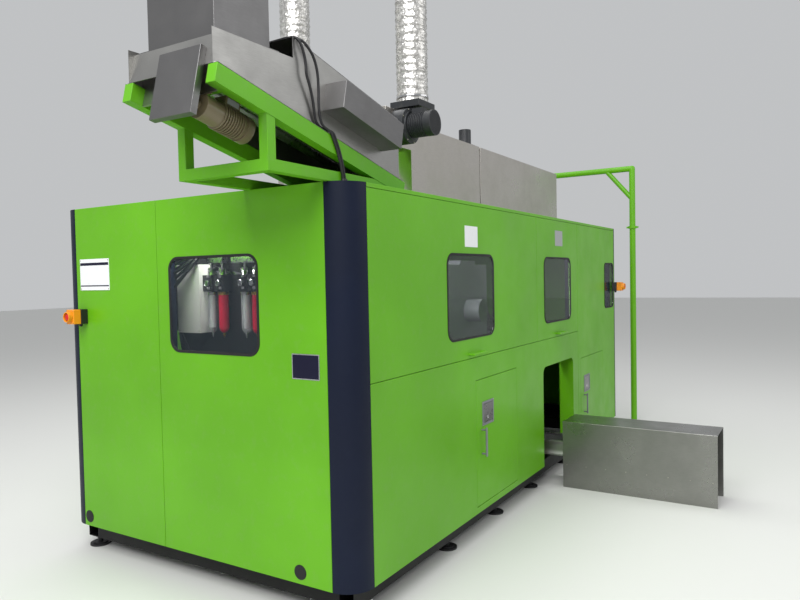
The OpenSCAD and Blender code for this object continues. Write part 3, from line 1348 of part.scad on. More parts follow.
// Corrugated duct: one revolved zigzag wall
module duct(l) {
  n = floor(l / duct_pitch);
  p = l / n;
  r = duct_d / 2;
  rotate_extrude($fn = 48) polygon(concat(
    [for (k = [0:n]) each [[r - duct_deep, k * p], if (k < n) [r, (k + 0.5) * p]]],
    [for (k = [n:-1:0]) each [[r - duct_deep - 2, k * p], if (k > 0) [r - 2, (k - 0.5) * p]]]));
}
sleeve_h = 60;
module sleeve() rotate_extrude() translate([duct_d / 2 + 0.3, 0]) square([3, sleeve_h]);
module flexible_ducts() color("lightgray") {
  at(duct_1_x, duct_1_y, roof_z + 0.3) duct(duct_top - roof_z);
  at(duct_1_x, duct_1_y, roof_z + 0.3) sleeve();
  at(duct_2_x, duct_2_y, roof_z + neck_top + 0.3) duct(duct_top - roof_z - neck_top);
  at(duct_1_x, duct_1_y, duct_top - sleeve_h) sleeve();
  at(duct_2_x, duct_2_y, duct_top - sleeve_h) sleeve();
}

// Discharge conveyor: side rails on legs, slider bars, belt round two rollers, stainless housing
side_t = 30;
side_h = 110;
side_gap = 6;
belt_t = 4;
conv_from = -house_gap - house_l + 40;
conv_to = chute_y + chute_l + 40;
conv_axis_in = 55;
conv_axis_z = belt_top - belt_t - 0.3 - drum_d / 2;
conv_mid = house_x + house_w / 2;
conv_ends = [conv_from + conv_axis_in, conv_to - conv_axis_in];
conv_shaft_d = 20;
conv_legs = [conv_from + 180, -house_gap - 140, beam_in + beam_w + 70, conv_to - 160];
conv_in = belt_w / 2 + side_gap;
conv_half = conv_in + side_t;
conv_low = belt_top - side_h + 12;
conv_gap = house_w / 2 - skin_t - 0.3 - conv_half;
module conveyor_frame() color(steel) {
  for (s = [-1, 1]) {
    difference() {
      at(conv_mid + s * conv_in - (s < 0 ? side_t : 0), conv_from, conv_low)
        cube([side_t, conv_to - conv_from, side_h]);
      at(conv_mid + s * conv_half - (s < 0 ? 1 : side_t - 5), conv_from - 1, conv_low + 5)
        cube([side_t - 4, conv_to - conv_from + 2, side_h - 10]);
      for (y = conv_ends) at(conv_mid + s * (conv_in + side_t / 2), y, conv_axis_z) along_x()
        cylinder(d = conv_shaft_d + 2 * pin_clear, h = side_t + 10, center = true);
    }
    for (y = conv_legs) at(conv_mid + s * (conv_in + side_t / 2) - 15, y - 15, 0)
      cube([30, 30, conv_low + eps]);
    for (y = [conv_legs[0], conv_legs[1]]) at(conv_mid + s * conv_half - (s < 0 ? conv_gap : eps), y - 15, 150)
      cube([conv_gap + eps, 30, 40]);
    at(conv_mid + s * (conv_in + side_t / 2) - 15, beam_in + beam_w / 2 - 15, skirt_z + 0.3)
      cube([30, 30, conv_low - skirt_z]);
  }
  for (y = conv_legs) at(conv_mid - conv_in - eps, y - 20, belt_top - belt_t - 0.3 - 20)
    cube([2 * conv_in + 2 * eps, 40, 20]);
}
module discharge_housing() color(steel) difference() {
  at(house_x, -house_gap - house_l, 0) cube([house_w, house_l, house_h]);
  at(house_x + skin_t, -house_gap - house_l - 1, -1) cube([house_w - 2 * skin_t, house_l + 2, house_h - skin_t + 1]);
}
module belt_loop(r) {
  for (y = conv_ends) translate([y, 0]) circle(r = r, $fn = 64);
  translate([conv_ends[0], -r]) square([conv_ends[1] - conv_ends[0], 2 * r]);
}
module conveyor_belt() color("black") at(conv_mid - belt_w / 2, 0, conv_axis_z) rotate([90, 0, 90])
  linear_extrude(belt_w) difference() {
  belt_loop(drum_d / 2 + 0.3 + belt_t);
  belt_loop(drum_d / 2 + 0.3);
}
module conveyor_roller(y) at(conv_mid, y, conv_axis_z) along_x() {
  cylinder(d = drum_d, h = belt_w, center = true);
  cylinder(d = conv_shaft_d, h = belt_w + 2 * side_gap + 20, center = true);
}
module conveyor_roller_drive() color("gray") conveyor_roller(conv_ends[0]);
module conveyor_roller_end() color("gray") conveyor_roller(conv_ends[1]);

// Lifting gantry beyond the right end: two posts on floor plates, beam and braces of round tube
gantry_x = cab_l + gantry_out;
gantry_ys = [-gantry_front, cab_w - 100];
brace_y = 270;
brace_z = 320;
ring_z = 2080;
plate_w = 160;
anchor = 120;
anchor_d = 14;
module gantry() color(green) {
  for (i = [0, 1]) {
    s = i == 0 ? 1 : -1;
    at(gantry_x, gantry_ys[i], 0) {
      difference() {
        translate([-plate_w / 2, -plate_w / 2, 0]) cube([plate_w, plate_w, 12]);
        for (x = [-1, 1], y = [-1, 1]) translate([x * anchor / 2, y * anchor / 2, -1]) cylinder(d = anchor_d, h = 14);
      }
      cylinder(d = gantry_d, h = gantry_z);
      up(gantry_z) sphere(d = gantry_d);
      up(gantry_z - brace_z) rotate([-s * atan2(brace_y, brace_z), 0, 0])
        cylinder(d = gantry_d * 0.8, h = norm([brace_y, brace_z]));
    }
  }
  at(gantry_x, gantry_ys[0], gantry_z) to_back() cylinder(d = gantry_d, h = gantry_ys[1] - gantry_ys[0]);
  at(gantry_x, gantry_ys[0], ring_z) {
    cylinder(d = gantry_d + 22, h = 26);
    translate([-8, -gantry_d, 4]) cube([16, gantry_d * 2, 18]);
  }
}

// Cables from the sorter's lid over its front wall and the chord down to the roof
cable_d = 12;
cable_a = [[-160, 400, 2651], [-165, 250, 2652], [-171, 150, 2654], [-166, 116, 2648], [-140, 104, 2628],
  [-95, 102, 2590], [-70, 102, 2530], [-63, 104, 2450], [-66, 104, 2380], [-58, 104, 2325], [-38, 105, 2300],
  [-10, 105, 2290], [10, 99, 2282], [23, 98, 2262], [56, 98, 2207], [85, 98, 2130], [98, 98, 2061]];
cable_b = [[-180, 380, 2656], [-186, 250, 2658], [-190, 150, 2658], [-186, 118, 2650], [-174, 106, 2622],
  [-156, 104, 2580], [-148, 104, 2540], [-147, 104, 2500], [-124, 106, 2462], [-98, 110, 2404], [-82, 116, 2350],
  [-68, 121, 2316], [-44, 122, 2299], [-14, 121, 2289], [10, 112, 2288], [26, 104, 2284], [35, 99, 2275],
  [43, 98, 2258], [74, 98, 2207], [101, 98, 2130], [114, 98, 2061]];
function smooth(p) = let (n = len(p) - 1) [for (i = [0:n])
  each i == n ? [p[i]] : [p[i], (9 * (p[i] + p[i + 1]) - p[max(i - 1, 0)] - p[min(i + 2, n)]) / 16]];
module cord(p, d) {
  n = len(p);
  k = 10;
  ring = [for (i = [0:n - 1])
    let (t = p[min(i + 1, n - 1)] - p[max(i - 1, 0)], s = cross(t, [0, 1, 0.2]), u = cross(t, s))
    each [for (j = [0:k - 1]) p[i] + d / 2 * (cos(j * 360 / k) * s / norm(s) + sin(j * 360 / k) * u / norm(u))]];
  sides = [for (i = [0:n - 2], j = [0:k - 1])
    let (a = i * k + j, b = i * k + (j + 1) % k) each [[a, a + k, b], [b, a + k, b + k]]];
  ends = [for (j = [1:k - 2]) each [[0, j, j + 1], [(n - 1) * k, (n - 1) * k + j + 1, (n - 1) * k + j]]];
  polyhedron(ring, concat(sides, ends));
}
module sorter_cables() color("black") for (p = [cable_a, cable_b]) at(0, 0, 0) cord(smooth(p), cable_d);

base_frame();
levelling_feet();
cabinet_frame();
corner_columns();
roof_panel();
end_panels();
rear_panels();
front_lower_panel();
front_right_panel();
upper_door_1();
upper_door_2();
lower_door_left();
lower_door_right();
door_pane_1();
door_pane_2();
fixed_panes();
door_seal_1();
door_seal_2();
fixed_seals();
bow_handle_1();
bow_handle_2();
latch_paddle_left();
latch_paddle_right();
lower_handle_left();
lower_handle_right();
concealed_hinges();
stop_button_boxes();
stop_button_left();
stop_button_right();
machine_bed();
chain_track();
carrier_chain();
index_wheel_left();
index_wheel_right();
oven_lamp_boxes();
oven_lamps();
clamp_frame();
clamp_half_front();
clamp_half_rear();
base_mould();
stretch_unit();
air_service_unit();
electrical_panel();
sorter_frame();
sorter_trough();
sorter_covers();
sorter_roller_front();
sorter_roller_rear();
sorter_gearmotor();
kicker_wheel();
roof_hoods();
blower();
flexible_ducts();
conveyor_frame();
discharge_housing();
conveyor_belt();
conveyor_roller_drive();
conveyor_roller_end();
gantry();
sorter_cables();
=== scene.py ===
import json
import math

import bmesh
import bpy
from bpy.props import FloatProperty, PointerProperty, StringProperty
from bpy.types import Operator, Panel, PropertyGroup
from mathutils import Matrix, Vector

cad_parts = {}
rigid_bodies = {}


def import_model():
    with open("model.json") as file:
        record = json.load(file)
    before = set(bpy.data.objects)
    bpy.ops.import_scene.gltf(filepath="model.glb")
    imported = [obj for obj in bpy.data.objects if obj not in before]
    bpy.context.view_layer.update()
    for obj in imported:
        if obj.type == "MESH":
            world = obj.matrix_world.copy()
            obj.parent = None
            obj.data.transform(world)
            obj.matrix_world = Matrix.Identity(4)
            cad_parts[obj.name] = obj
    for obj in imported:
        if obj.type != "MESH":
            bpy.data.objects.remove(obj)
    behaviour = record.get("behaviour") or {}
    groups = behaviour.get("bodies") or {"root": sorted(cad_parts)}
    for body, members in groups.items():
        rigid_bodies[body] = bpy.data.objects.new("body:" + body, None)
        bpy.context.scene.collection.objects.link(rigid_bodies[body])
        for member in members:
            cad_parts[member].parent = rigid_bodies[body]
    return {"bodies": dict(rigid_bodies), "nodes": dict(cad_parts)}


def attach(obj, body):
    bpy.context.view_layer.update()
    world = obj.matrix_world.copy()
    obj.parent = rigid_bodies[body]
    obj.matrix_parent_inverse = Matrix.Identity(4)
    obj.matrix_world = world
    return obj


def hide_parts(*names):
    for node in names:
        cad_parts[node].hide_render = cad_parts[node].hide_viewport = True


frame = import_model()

bl_info = {
    "name": "Blow Moulding Machine",
    "version": (1, 0, 0),
    "blender": (4, 5, 0),
    "location": "View3D > Sidebar > Machine",
    "description": "Dresses the CAD frame of a blow moulding machine",
    "category": "Object",
}

# Machine places are millimetres from the cabinet's left end, front face and the floor.
ORIGIN_X = 2445.0
ORIGIN_Y = 1075.0
MM = 0.001
ROOF = 2060.0
DUCT_TOP = 3500.0
# The sorter's trough starts outside the cabinet, at its raised end, and slopes down.
SLOPE = math.radians(13)
SORT_OUT = 660.0
SORT_Y = 105.0
SORT_TOP = 2427.0
# The photograph's viewpoint in metres, and its heading, rise and tilt in degrees.
CAMERA_PLACE = (-4.950, -2.872, 1.620)
CAMERA_ANGLES = (31.575, -1.932, -1.1485)
CAMERA_FAR = 100.0
FLOOR_HALF = 40.0
# An edge is sharp above this angle, and a fold when long and between broad faces.
SHARP = math.radians(50)
FOLD_LENGTH = 0.05
FOLD_FACE = 0.015
# Screw heads reach this far under the surface that they sit on, in mm.
SUNK = -0.2


def mm(x, y, z):
    """A machine place in the shared frame, in metres."""
    return Vector(((x - ORIGIN_X) * MM, (y - ORIGIN_Y) * MM, z * MM))


INCLINE = Matrix.Translation(mm(-SORT_OUT, SORT_Y, SORT_TOP)) @ Matrix.Rotation(SLOPE, 4, "Y")
FROM_TROUGH = INCLINE.to_3x3() @ Vector((0, 0, 1))
UP_SLOPE = INCLINE.to_3x3() @ Vector((-1, 0, 0))


def incline(u, v, w):
    """A place on the sorter from mm: u down the slope, v across, w square to it."""
    return INCLINE @ Vector((u * MM, v * MM, w * MM))


# Colours and materials


def colour(hex_code, gain=1.0):
    """sRGB hex to the linear values that Blender takes, made lighter or darker by gain."""
    out = []
    for i in (0, 2, 4):
        c = int(hex_code[i : i + 2], 16) / 255
        linear = c / 12.92 if c <= 0.04045 else ((c + 0.055) / 1.055) ** 2.4
        out.append(min(linear * gain, 1.0))
    return (*out, 1.0)


def per_metre(size):
    """A texture's scale for features of a size in mm."""
    return 1000.0 / size


class Finish:
    """A material under construction, whose patterns read Object coordinates."""

    def __init__(self, name):
        self.mat = bpy.data.materials.new(name)
        self.mat.use_nodes = True
        self.tree = self.mat.node_tree
        self.surface = self.tree.nodes["Principled BSDF"]
        self.place = self.add("TexCoord", "Object")

    def put(self, node, **values):
        """Sets or links sockets, each found by its identifier or its name."""
        for key, value in values.items():
            name = key.replace("_", " ")
            socket = next(s for s in node.inputs if key == s.identifier or name == s.name)
            if isinstance(value, bpy.types.NodeSocket):
                self.tree.links.new(value, socket)
            else:
                socket.default_value = value

    def add(self, kind, out, settings=None, **values):
        """Adds a node with its settings and links, and gives the output asked for."""
        node = self.tree.nodes.new("ShaderNode" + kind)
        for key, value in (settings or {}).items():
            setattr(node, key, value)
        self.put(node, **values)
        return next(s for s in node.outputs if out in (s.identifier, s.name))

    def clouds(self, size, detail, rough=0.5, stretch=(1, 1, 1)):
        """Cloudy noise with features of a size in mm, longer where stretch is small."""
        return self.add(
            "TexNoise", "Fac", Scale=per_metre(size), Detail=detail, Roughness=rough,
            Vector=self.add("Mapping", "Vector", Vector=self.place, Scale=stretch),
        )

    def drift(self, low, high, pattern, start=0.3, stop=0.7):
        """A value from low to high along the middle of a pattern, or of clouds given
        by their size and detail."""
        if isinstance(pattern, tuple):
            pattern = self.clouds(*pattern)
        return self.add(
            "MapRange", "Result", Value=pattern,
            From_Min=start, From_Max=stop, To_Min=low, To_Max=high,
        )

    def tinted(self, first, second, *share):
        """The first colour, which drifts to the second one by a share."""
        return self.add(
            "Mix", "Result_Color", {"data_type": "RGBA"},
            Factor=self.drift(*share), A_Color=first, B_Color=second,
        )

    def relief(self, *layers):
        """Stacked bumps, each from (pattern, strength, depth in mm)."""
        under = {}
        for pattern, strength, depth in layers:
            normal = self.add(
                "Bump", "Normal", Height=pattern, Strength=strength, Distance=depth * MM, **under
            )
            under = {"Normal": normal}
        self.put(self.surface, **under)


def paint(name, hex_code, rough=0.38, peel=2.4, vary=0.07, dust_and_sheen="8C8A80", gloss=0.3):
    """Powder coat: orange peel of a size in mm, slow tone drift and a breath of dust, which on the
    navy coat is a painted blue sheen.
    """
    f = Finish(name)
    darker, lighter = colour(hex_code, 1 - vary), colour(hex_code, 1 + vary)
    base = f.tinted(darker, lighter, 0.0, 1.0, (625, 4.0), 0.35, 0.65)
    f.relief((f.clouds(peel, 2.0), 0.10, 0.4), (f.clouds(455, 2.0), 0.12, 4.0))
    f.put(
        f.surface,
        # Cloudy patches of the second colour: real dust, and on the navy coat a painted blue sheen
        Base_Color=f.tinted(base, colour(dust_and_sheen), 0.0, 0.10, (45, 6.0, 0.65), 0.52, 0.78),
        Roughness=f.drift(rough - 0.05, rough + 0.09, (200, 5.0)),
        Specular_IOR_Level=gloss, Coat_Weight=gloss * 0.3, Coat_Roughness=0.18,
    )
    return f.mat


def sheet_metal(name, hex_code, grain, rough=0.34, smear=0.5):
    """Stainless sheet: drawn grain one way, hand smears and faint oil canning. Real
    grain is some 0.05 mm wide and is drawn at 1.7 mm, so that the render shows it."""
    f = Finish(name)
    lines = f.clouds(1.67, 5.0, 0.7, grain)
    marks = f.clouds(312, 6.0, 0.62)
    tone = f.tinted(colour(hex_code, 0.88), colour(hex_code, 1.07), 0.0, 1.0, lines)
    f.relief((lines, 0.08, 0.3), (f.clouds(714, 1.0), 0.22, 6.0))
    f.put(
        f.surface,
        Base_Color=f.tinted(tone, colour(hex_code, 0.72), 0.0, smear, marks, 0.42, 0.72),
        Roughness=f.drift(rough - 0.07, rough + 0.14, marks, 0.35, 0.7),
        Metallic=1.0,
    )
    return f.mat


def machined(name, hex_code, rough=0.3, metallic=1.0, mark=16.7):
    """Turned or milled metal with a thin oil film. Real tool marks are some 0.2 mm
    apart and are drawn at mark, in mm, so that the render shows them."""
    f = Finish(name)
    marks = f.clouds(mark, 4.0, 0.6)
    f.relief((marks, 0.10, 0.3))
    f.put(
        f.surface,
        Base_Color=f.tinted(colour(hex_code, 0.8), colour(hex_code, 1.06), 0.0, 1.0, (143, 5.0)),
        Roughness=f.drift(rough - 0.08, rough + 0.12, marks),
        Metallic=metallic,
    )
    return f.mat


def moulded(name, hex_code, rough=0.5, grain=1.4, strength=0.12):
    """Moulded plastic or rubber. Its erosion grain is some 0.2 mm and is drawn at
    grain, in mm, so that the render shows it."""
    f = Finish(name)
    f.relief((f.clouds(grain, 2.0), strength, 0.3))
    f.put(
        f.surface,
        Base_Color=f.tinted(colour(hex_code, 0.9), colour(hex_code, 1.12), 0.0, 1.0, (71, 5.0)),
        Roughness=f.drift(rough - 0.06, rough + 0.1, (111, 4.0)),
    )
    return f.mat


def clear(name, hex_code, rough=0.03, ior=1.49, alpha=0.3):
    """Clear sheet or bowl that lets light straight through, with faint wiping marks."""
    f = Finish(name)
    f.put(
        f.surface,
        Base_Color=colour(hex_code), IOR=ior, Alpha=alpha,
        Roughness=f.drift(rough, rough + 0.05, (167, 5.0), 0.45, 0.8),
    )
    return f.mat


def foil(name):
    """Crinkled aluminium foil of a flexible duct, with facets of about 18 mm, each lighter in its
    middle and darker at its edges: painted light and shade.
    """
    f = Finish(name)
    cells = f.add(
        "TexVoronoi", "Distance", {"feature": "SMOOTH_F1"}, Vector=f.place, Scale=per_metre(18)
    )
    f.relief((cells, 0.75, 6.0), (f.clouds(5.6, 3.0), 0.2, 1.0))
    # Lighter facet middles and darker facet edges: painted light and shade of the crinkles
    f.put(
        f.surface,
        Base_Color=f.tinted(colour("F0EEEA"), colour("BCBAB6"), 0.0, 1.0, cells, 0.1, 0.6),
        Roughness=f.drift(0.2, 0.42, (33, 4.0)),
        Metallic=0.85,
    )
    return f.mat


def belting(name):
    """Black belt cover with a cross weave of 1 mm, drawn at 2.6 mm so that it shows."""
    f = Finish(name)
    # A wave texture's bands come at 0.31 of its size.
    ribs = f.add(
        "TexWave", "Fac", {"bands_direction": "Y"}, Vector=f.place, Scale=per_metre(8.3)
    )
    f.relief((ribs, 0.3, 0.6))
    f.put(
        f.surface,
        Base_Color=f.tinted(colour("131314"), colour("2A2A2B"), 0.0, 1.0, ribs, 0.0, 1.0),
        Roughness=f.drift(0.5, 0.75, (83, 4.0)),
    )
    return f.mat


MATERIALS = {}


def make_materials():
    values = bpy.context.scene.machine_finishes
    m = MATERIALS
    # Semi-gloss lime green powder coat: an even, saturated tone with soft highlights
    m["green"] = paint("lime_powder_coat", values.panel_green)
    # The tube green is a little darker than the panel green: painted shade
    m["green_frame"] = paint("lime_paint_tube", values.frame_green, 0.42, 3.3, 0.09)
    # Deep navy and black coats: nearly black, with a painted dull blue sheen in cloudy patches on
    # the round columns
    m["navy"] = paint("navy_powder_coat", values.column_navy, 0.46, 2.4, 0.12, "1E2838", 0.2)
    m["base"] = paint("black_base_paint", "161617", 0.5, 3.8, 0.15, "4A463E", 0.2)
    # Brushed-on machine paints of the bed and the castings: greyer and a little rougher
    m["bed"] = paint("grey_machine_paint", "6E7276", 0.45, 3.3, 0.1)
    m["clamp"] = paint("casting_paint", "868B90", 0.42, 4.2, 0.08)
    m["box_white"] = paint("cabinet_white", "D6D6D0", 0.4, 2.6, 0.04)
    # Drive paints: olive bronze on the gearmotor, near black on the blower
    m["motor"] = paint("motor_bronze_paint", "6A6048", 0.34, 3.8, 0.15, gloss=0.5)
    m["fan"] = paint("blower_grey_paint", "2B2D30", 0.42, 3.8, 0.15)
    # Stainless sheet: a dull mirror with grain, and a drawing direction for each piece. Each piece's
    # copy of the same sheet also has its own brightness, pale on the hoods and dark on the covers:
    # painted light and shade.
    along, across = (0.03, 1, 1), (1, 0.03, 1)
    m["hood"] = sheet_metal("stainless_hood", "C6C1BA", along)
    m["trough"] = sheet_metal("stainless_trough", "A3A29F", along, 0.36)
    m["cover"] = sheet_metal("stainless_cover", "7C7B7B", along, 0.38)
    m["housing"] = sheet_metal("stainless_housing", "8E8E8A", across, 0.3)
    m["rail"] = sheet_metal("stainless_rail", "A5A5A2", across, 0.3)
    m["oven"] = sheet_metal("polished_reflector", "C2C0BA", along, 0.2)
    # Steel, ground or turned: grey with sharp highlights under a film of oil
    m["steel"] = machined("machined_steel", "9A9A9A")
    m["dark_steel"] = machined("oiled_chain_steel", "6F7072", 0.34)
    # Milled aluminium, chrome, zinc and brass: lighter, mirror-like, matt and yellow
    m["alu"] = machined("milled_aluminium", "C4C6C9", 0.28)
    m["chrome"] = machined("chromed_steel", "C9C9CA", 0.12)
    m["zinc"] = machined("zinc_plated_steel", "B5B3A6", 0.3)
    m["brass"] = machined("brass_fitting", "B8954A", 0.26)
    # Cast iron feet: dark and rough, with the sand's grain
    m["iron"] = machined("cast_iron_foot", "3A3A3C", 0.55, 0.7, 11.0)
    # Rubber and plastics: dull blacks, and the stop boxes' orange and red
    m["rubber"] = moulded("seal_rubber", "121213", 0.62)
    m["cable"] = moulded("cable_jacket", "17171A", 0.5)
    m["black"] = moulded("black_plastic", "1B1B1D", 0.46)
    m["grey_plastic"] = moulded("grey_plastic", "74777A", 0.4)
    m["orange"] = moulded("orange_housing_plastic", "E8901A", 0.4)
    m["red"] = moulded("red_button_plastic", "C4161C", 0.3, 2.0, 0.05)
    # Acrylic windows, clear behind the end and smoked in the doors
    m["window"] = clear("acrylic_window", "39424A", 0.02, 1.49, 0.22)
    m["door_window"] = clear("tinted_acrylic_window", "34363C", 0.02, 1.49, 0.45)
    # Polycarbonate filter bowls and quartz tubes: their edges catch the light
    m["bowl"] = clear("polycarbonate_bowl", "E8ECEE", 0.05, 1.58, 0.2)
    m["red_bowl"] = clear("red_polycarbonate_bowl", "F01848", 0.06, 1.58, 0.75)
    m["quartz"] = clear("quartz_tube", "F1EAD9", 0.04, 1.46, 0.5)
    # Foil glitters in small facets, whose colour is lighter in their middles and darker at their
    # edges: painted light and shade; the belt is dull with ribs across
    m["foil"] = foil("crinkled_duct_foil")
    m["belt"] = belting("woven_belt_cover")
    # Bare plates: smooth printed or anodised sheet
    m["plate_blue"] = paint("printed_plate_blue", "12122B", 0.34, 2.0, 0.05, "2A2C44", 0.2)
    m["plate_white"] = paint("printed_plate_white", "E6E8EA", 0.35, 2.0, 0.02)
    m["plate_grey"] = paint("anodised_plate_grey", "9DA0A0", 0.34, 2.0, 0.04)


# Mesh code


def turns(steps):
    """Even steps round a circle, in radians."""
    return [2 * math.pi * k / steps for k in range(steps)]


def circle(radius, angles):
    """Offsets round a circle, in the radius's own unit."""
    return [(radius * math.cos(a), radius * math.sin(a)) for a in angles]


def show(name, data):
    """A new object round a mesh, a lamp or a camera, linked to the scene."""
    obj = bpy.data.objects.new(name, data)
    bpy.context.scene.collection.objects.link(obj)
    return obj


def as_mesh(name, bm):
    """The mesh of a bmesh, which is freed."""
    mesh = bpy.data.meshes.new(name)
    bm.to_mesh(mesh)
    bm.free()
    return mesh


def apply_all(obj):
    """Turns the evaluated shape into the plain mesh and removes the modifiers."""
    graph = bpy.context.evaluated_depsgraph_get()
    graph.update()
    mesh = bpy.data.meshes.new_from_object(obj.evaluated_get(graph))
    obj.modifiers.clear()
    obj.data = mesh


def dress(obj, body, angle=35.0, replaces=()):
    """Shades an object, and names its body and the nodes that it replaces."""
    obj.data.shade_smooth()
    obj.data.set_sharp_from_angle(angle=math.radians(angle))
    even = obj.modifiers.new("even", "WEIGHTED_NORMAL")
    even.keep_sharp = True
    apply_all(obj)
    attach(obj, body)
    if replaces:
        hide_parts(*replaces)
    return obj


def finish_piece(name, bm, mat, body, angle=35.0, replaces=()):
    """Turns a bmesh into a piece of one material that rides on a body."""
    bmesh.ops.recalc_face_normals(bm, faces=bm.faces)
    obj = show(name, as_mesh(name, bm))
    obj.data.materials.append(MATERIALS[mat])
    return dress(obj, body, angle, replaces)


def add_box(bm, low, high, bevel=0.0, segments=2):
    """A box between two corners in metres, with rounded edges."""
    low, high = Vector(low), Vector(high)
    made = bmesh.ops.create_cube(bm, size=1.0)["verts"]
    size = high - low
    for v in made:
        v.co = Vector((v.co[i] * size[i] + (low[i] + high[i]) / 2 for i in range(3)))
    edges = list({e for v in made for e in v.link_edges})
    bmesh.ops.bevel(bm, geom=edges, offset=bevel, segments=segments, affect="EDGES", profile=0.6)


def add_box_mm(bm, low, high, bevel, segments=2):
    """A box between two machine places."""
    add_box(bm, mm(*low), mm(*high), bevel * MM, segments)


def bridge(bm, rings):
    """Faces between rings of vertices, where a ring of one vertex is a tip."""
    for a, b in zip(rings, rings[1:]):
        steps = max(len(a), len(b))
        for k in range(steps):
            n = (k + 1) % steps
            if len(a) == 1:
                bm.faces.new((a[0], b[k], b[n]))
            elif len(b) == 1:
                bm.faces.new((a[k], a[n], b[0]))
            else:
                bm.faces.new((a[k], a[n], b[n], b[k]))


def cap(bm, rings):
    """Closes both ends of a row of rings, unless they are tips."""
    if len(rings[0]) > 1:
        bm.faces.new(rings[0][::-1])
    if len(rings[-1]) > 1:
        bm.faces.new(rings[-1])


# The way in which a lathed profile's height points
AXES = {
    "Z": Matrix.Identity(4),
    "-Z": Matrix.Rotation(math.pi, 4, "X"),
    "-Y": Matrix.Rotation(math.pi / 2, 4, "X"),
    "-X": Matrix(((0, 0, -1), (0, -1, 0), (-1, 0, 0))).to_4x4(),
}


def add_lathe(bm, profile, place, axis="Z", steps=32, hollow=False):
    """Revolves (radius, height) points in mm about an axis through a place. A hollow
    shape's profile runs down its outside and up its inside."""
    matrix = Matrix.Translation(place) @ AXES[axis]
    rings = []
    for r, h in profile:
        spots = circle(r * MM, turns(steps)) if r else [(0, 0)]
        rings.append([bm.verts.new(matrix @ Vector((x, y, h * MM))) for x, y in spots])
    if hollow:
        bridge(bm, rings + rings[:1])
    else:
        bridge(bm, rings)
        cap(bm, rings)


def build(name, mat, boxes=(), lathes=(), body="machine"):
    """A piece of boxes and lathed shapes, each given by its function's values."""
    bm = bmesh.new()
    for values in lathes:
        add_lathe(bm, *values)
    for values in boxes:
        add_box_mm(bm, *values)
    return finish_piece(name, bm, mat, body)


def smooth_path(points, rounds=2):
    """Rounds a path's corners by Chaikin's cuts and keeps its ends."""
    points = [Vector(p) for p in points]
    for _ in range(rounds):
        out = [points[0]]
        for a, b in zip(points, points[1:]):
            out += [a.lerp(b, 0.25), a.lerp(b, 0.75)]
        points = out + [points[-1]]
    return points


def add_tube(bm, points, radius, sides=12):
    """A round tube along points, in metres."""
    rings = []
    side = (points[1] - points[0]).orthogonal()
    for i, p in enumerate(points):
        ahead = points[min(i + 1, len(points) - 1)] - points[max(i - 1, 0)]
        ahead.normalize()
        side = (side - ahead * side.dot(ahead)).normalized()
        up = ahead.cross(side)
        spots = circle(radius, turns(sides))
        rings.append([bm.verts.new(p + side * x + up * y) for x, y in spots])
    bridge(bm, rings)
    cap(bm, rings)


def body_of(node):
    """The name of the body that a CAD node rides on."""
    parent = frame["nodes"][node].parent
    return next(name for name, empty in frame["bodies"].items() if empty == parent)


def copied(node):
    """A bmesh of a CAD node with its flat faces merged again."""
    bm = bmesh.new()
    bm.from_mesh(frame["nodes"][node].data)
    bmesh.ops.remove_doubles(bm, verts=bm.verts, dist=1e-6)
    bmesh.ops.dissolve_limit(bm, angle_limit=math.radians(1), verts=bm.verts, edges=bm.edges)
    bmesh.ops.connect_verts_concave(bm, faces=bm.faces)
    return bm


def sharp_edges(bm):
    """The sharp outer edges between two faces."""
    pairs = [e for e in bm.edges if len(e.link_faces) == 2]
    return [e for e in pairs if e.is_convex and e.calc_face_angle() > SHARP]


def skin(node, bm, mat):
    """A piece that stands for a CAD node and rides where the node does."""
    return finish_piece(node + "_skin", bm, mat, body_of(node), 35.0, (node,))


def folded(node, mat, radius):
    """A CAD node with its long outer folds rounded, as a press brake leaves them."""
    bm = copied(node)
    folds = [
        e for e in sharp_edges(bm)
        if e.calc_length() >= FOLD_LENGTH
        and all(f.calc_area() / e.calc_length() > FOLD_FACE for f in e.link_faces)
    ]
    bmesh.ops.bevel(bm, geom=folds, offset=radius, segments=3, affect="EDGES", profile=0.5)
    return skin(node, bm, mat)


def eased(node, mat, width):
    """A CAD node with every sharp outer edge broken."""
    bm = copied(node)
    bmesh.ops.bevel(
        bm, geom=sharp_edges(bm), offset=width, segments=2, affect="EDGES", profile=0.5,
        clamp_overlap=True,
    )
    return skin(node, bm, mat)


def sorted_finish(node, rules, default):
    """A CAD node whose faces take a finish by place; rules are (low, high, material)
    boxes between machine places, and one with no material leaves its faces out."""
    bm = copied(node)
    names = [default] + sorted({r[2] for r in rules if r[2] and r[2] != default})
    drop = []
    for face in bm.faces:
        c = face.calc_center_bounds()
        place = (c.x / MM + ORIGIN_X, c.y / MM + ORIGIN_Y, c.z / MM)
        inside = (r[2] for r in rules if all(a <= p <= b for a, p, b in zip(r[0], place, r[1])))
        mat = next(inside, default)
        if mat:
            face.material_index = names.index(mat)
        else:
            drop.append(face)
    bmesh.ops.delete(bm, geom=drop, context="FACES")
    obj = show(node + "_skin", as_mesh(node + "_skin", bm))
    for name in names:
        obj.data.materials.append(MATERIALS[name])
    return dress(obj, body_of(node), 35.0, (node,))


# Geometry Nodes: one part instanced on many points


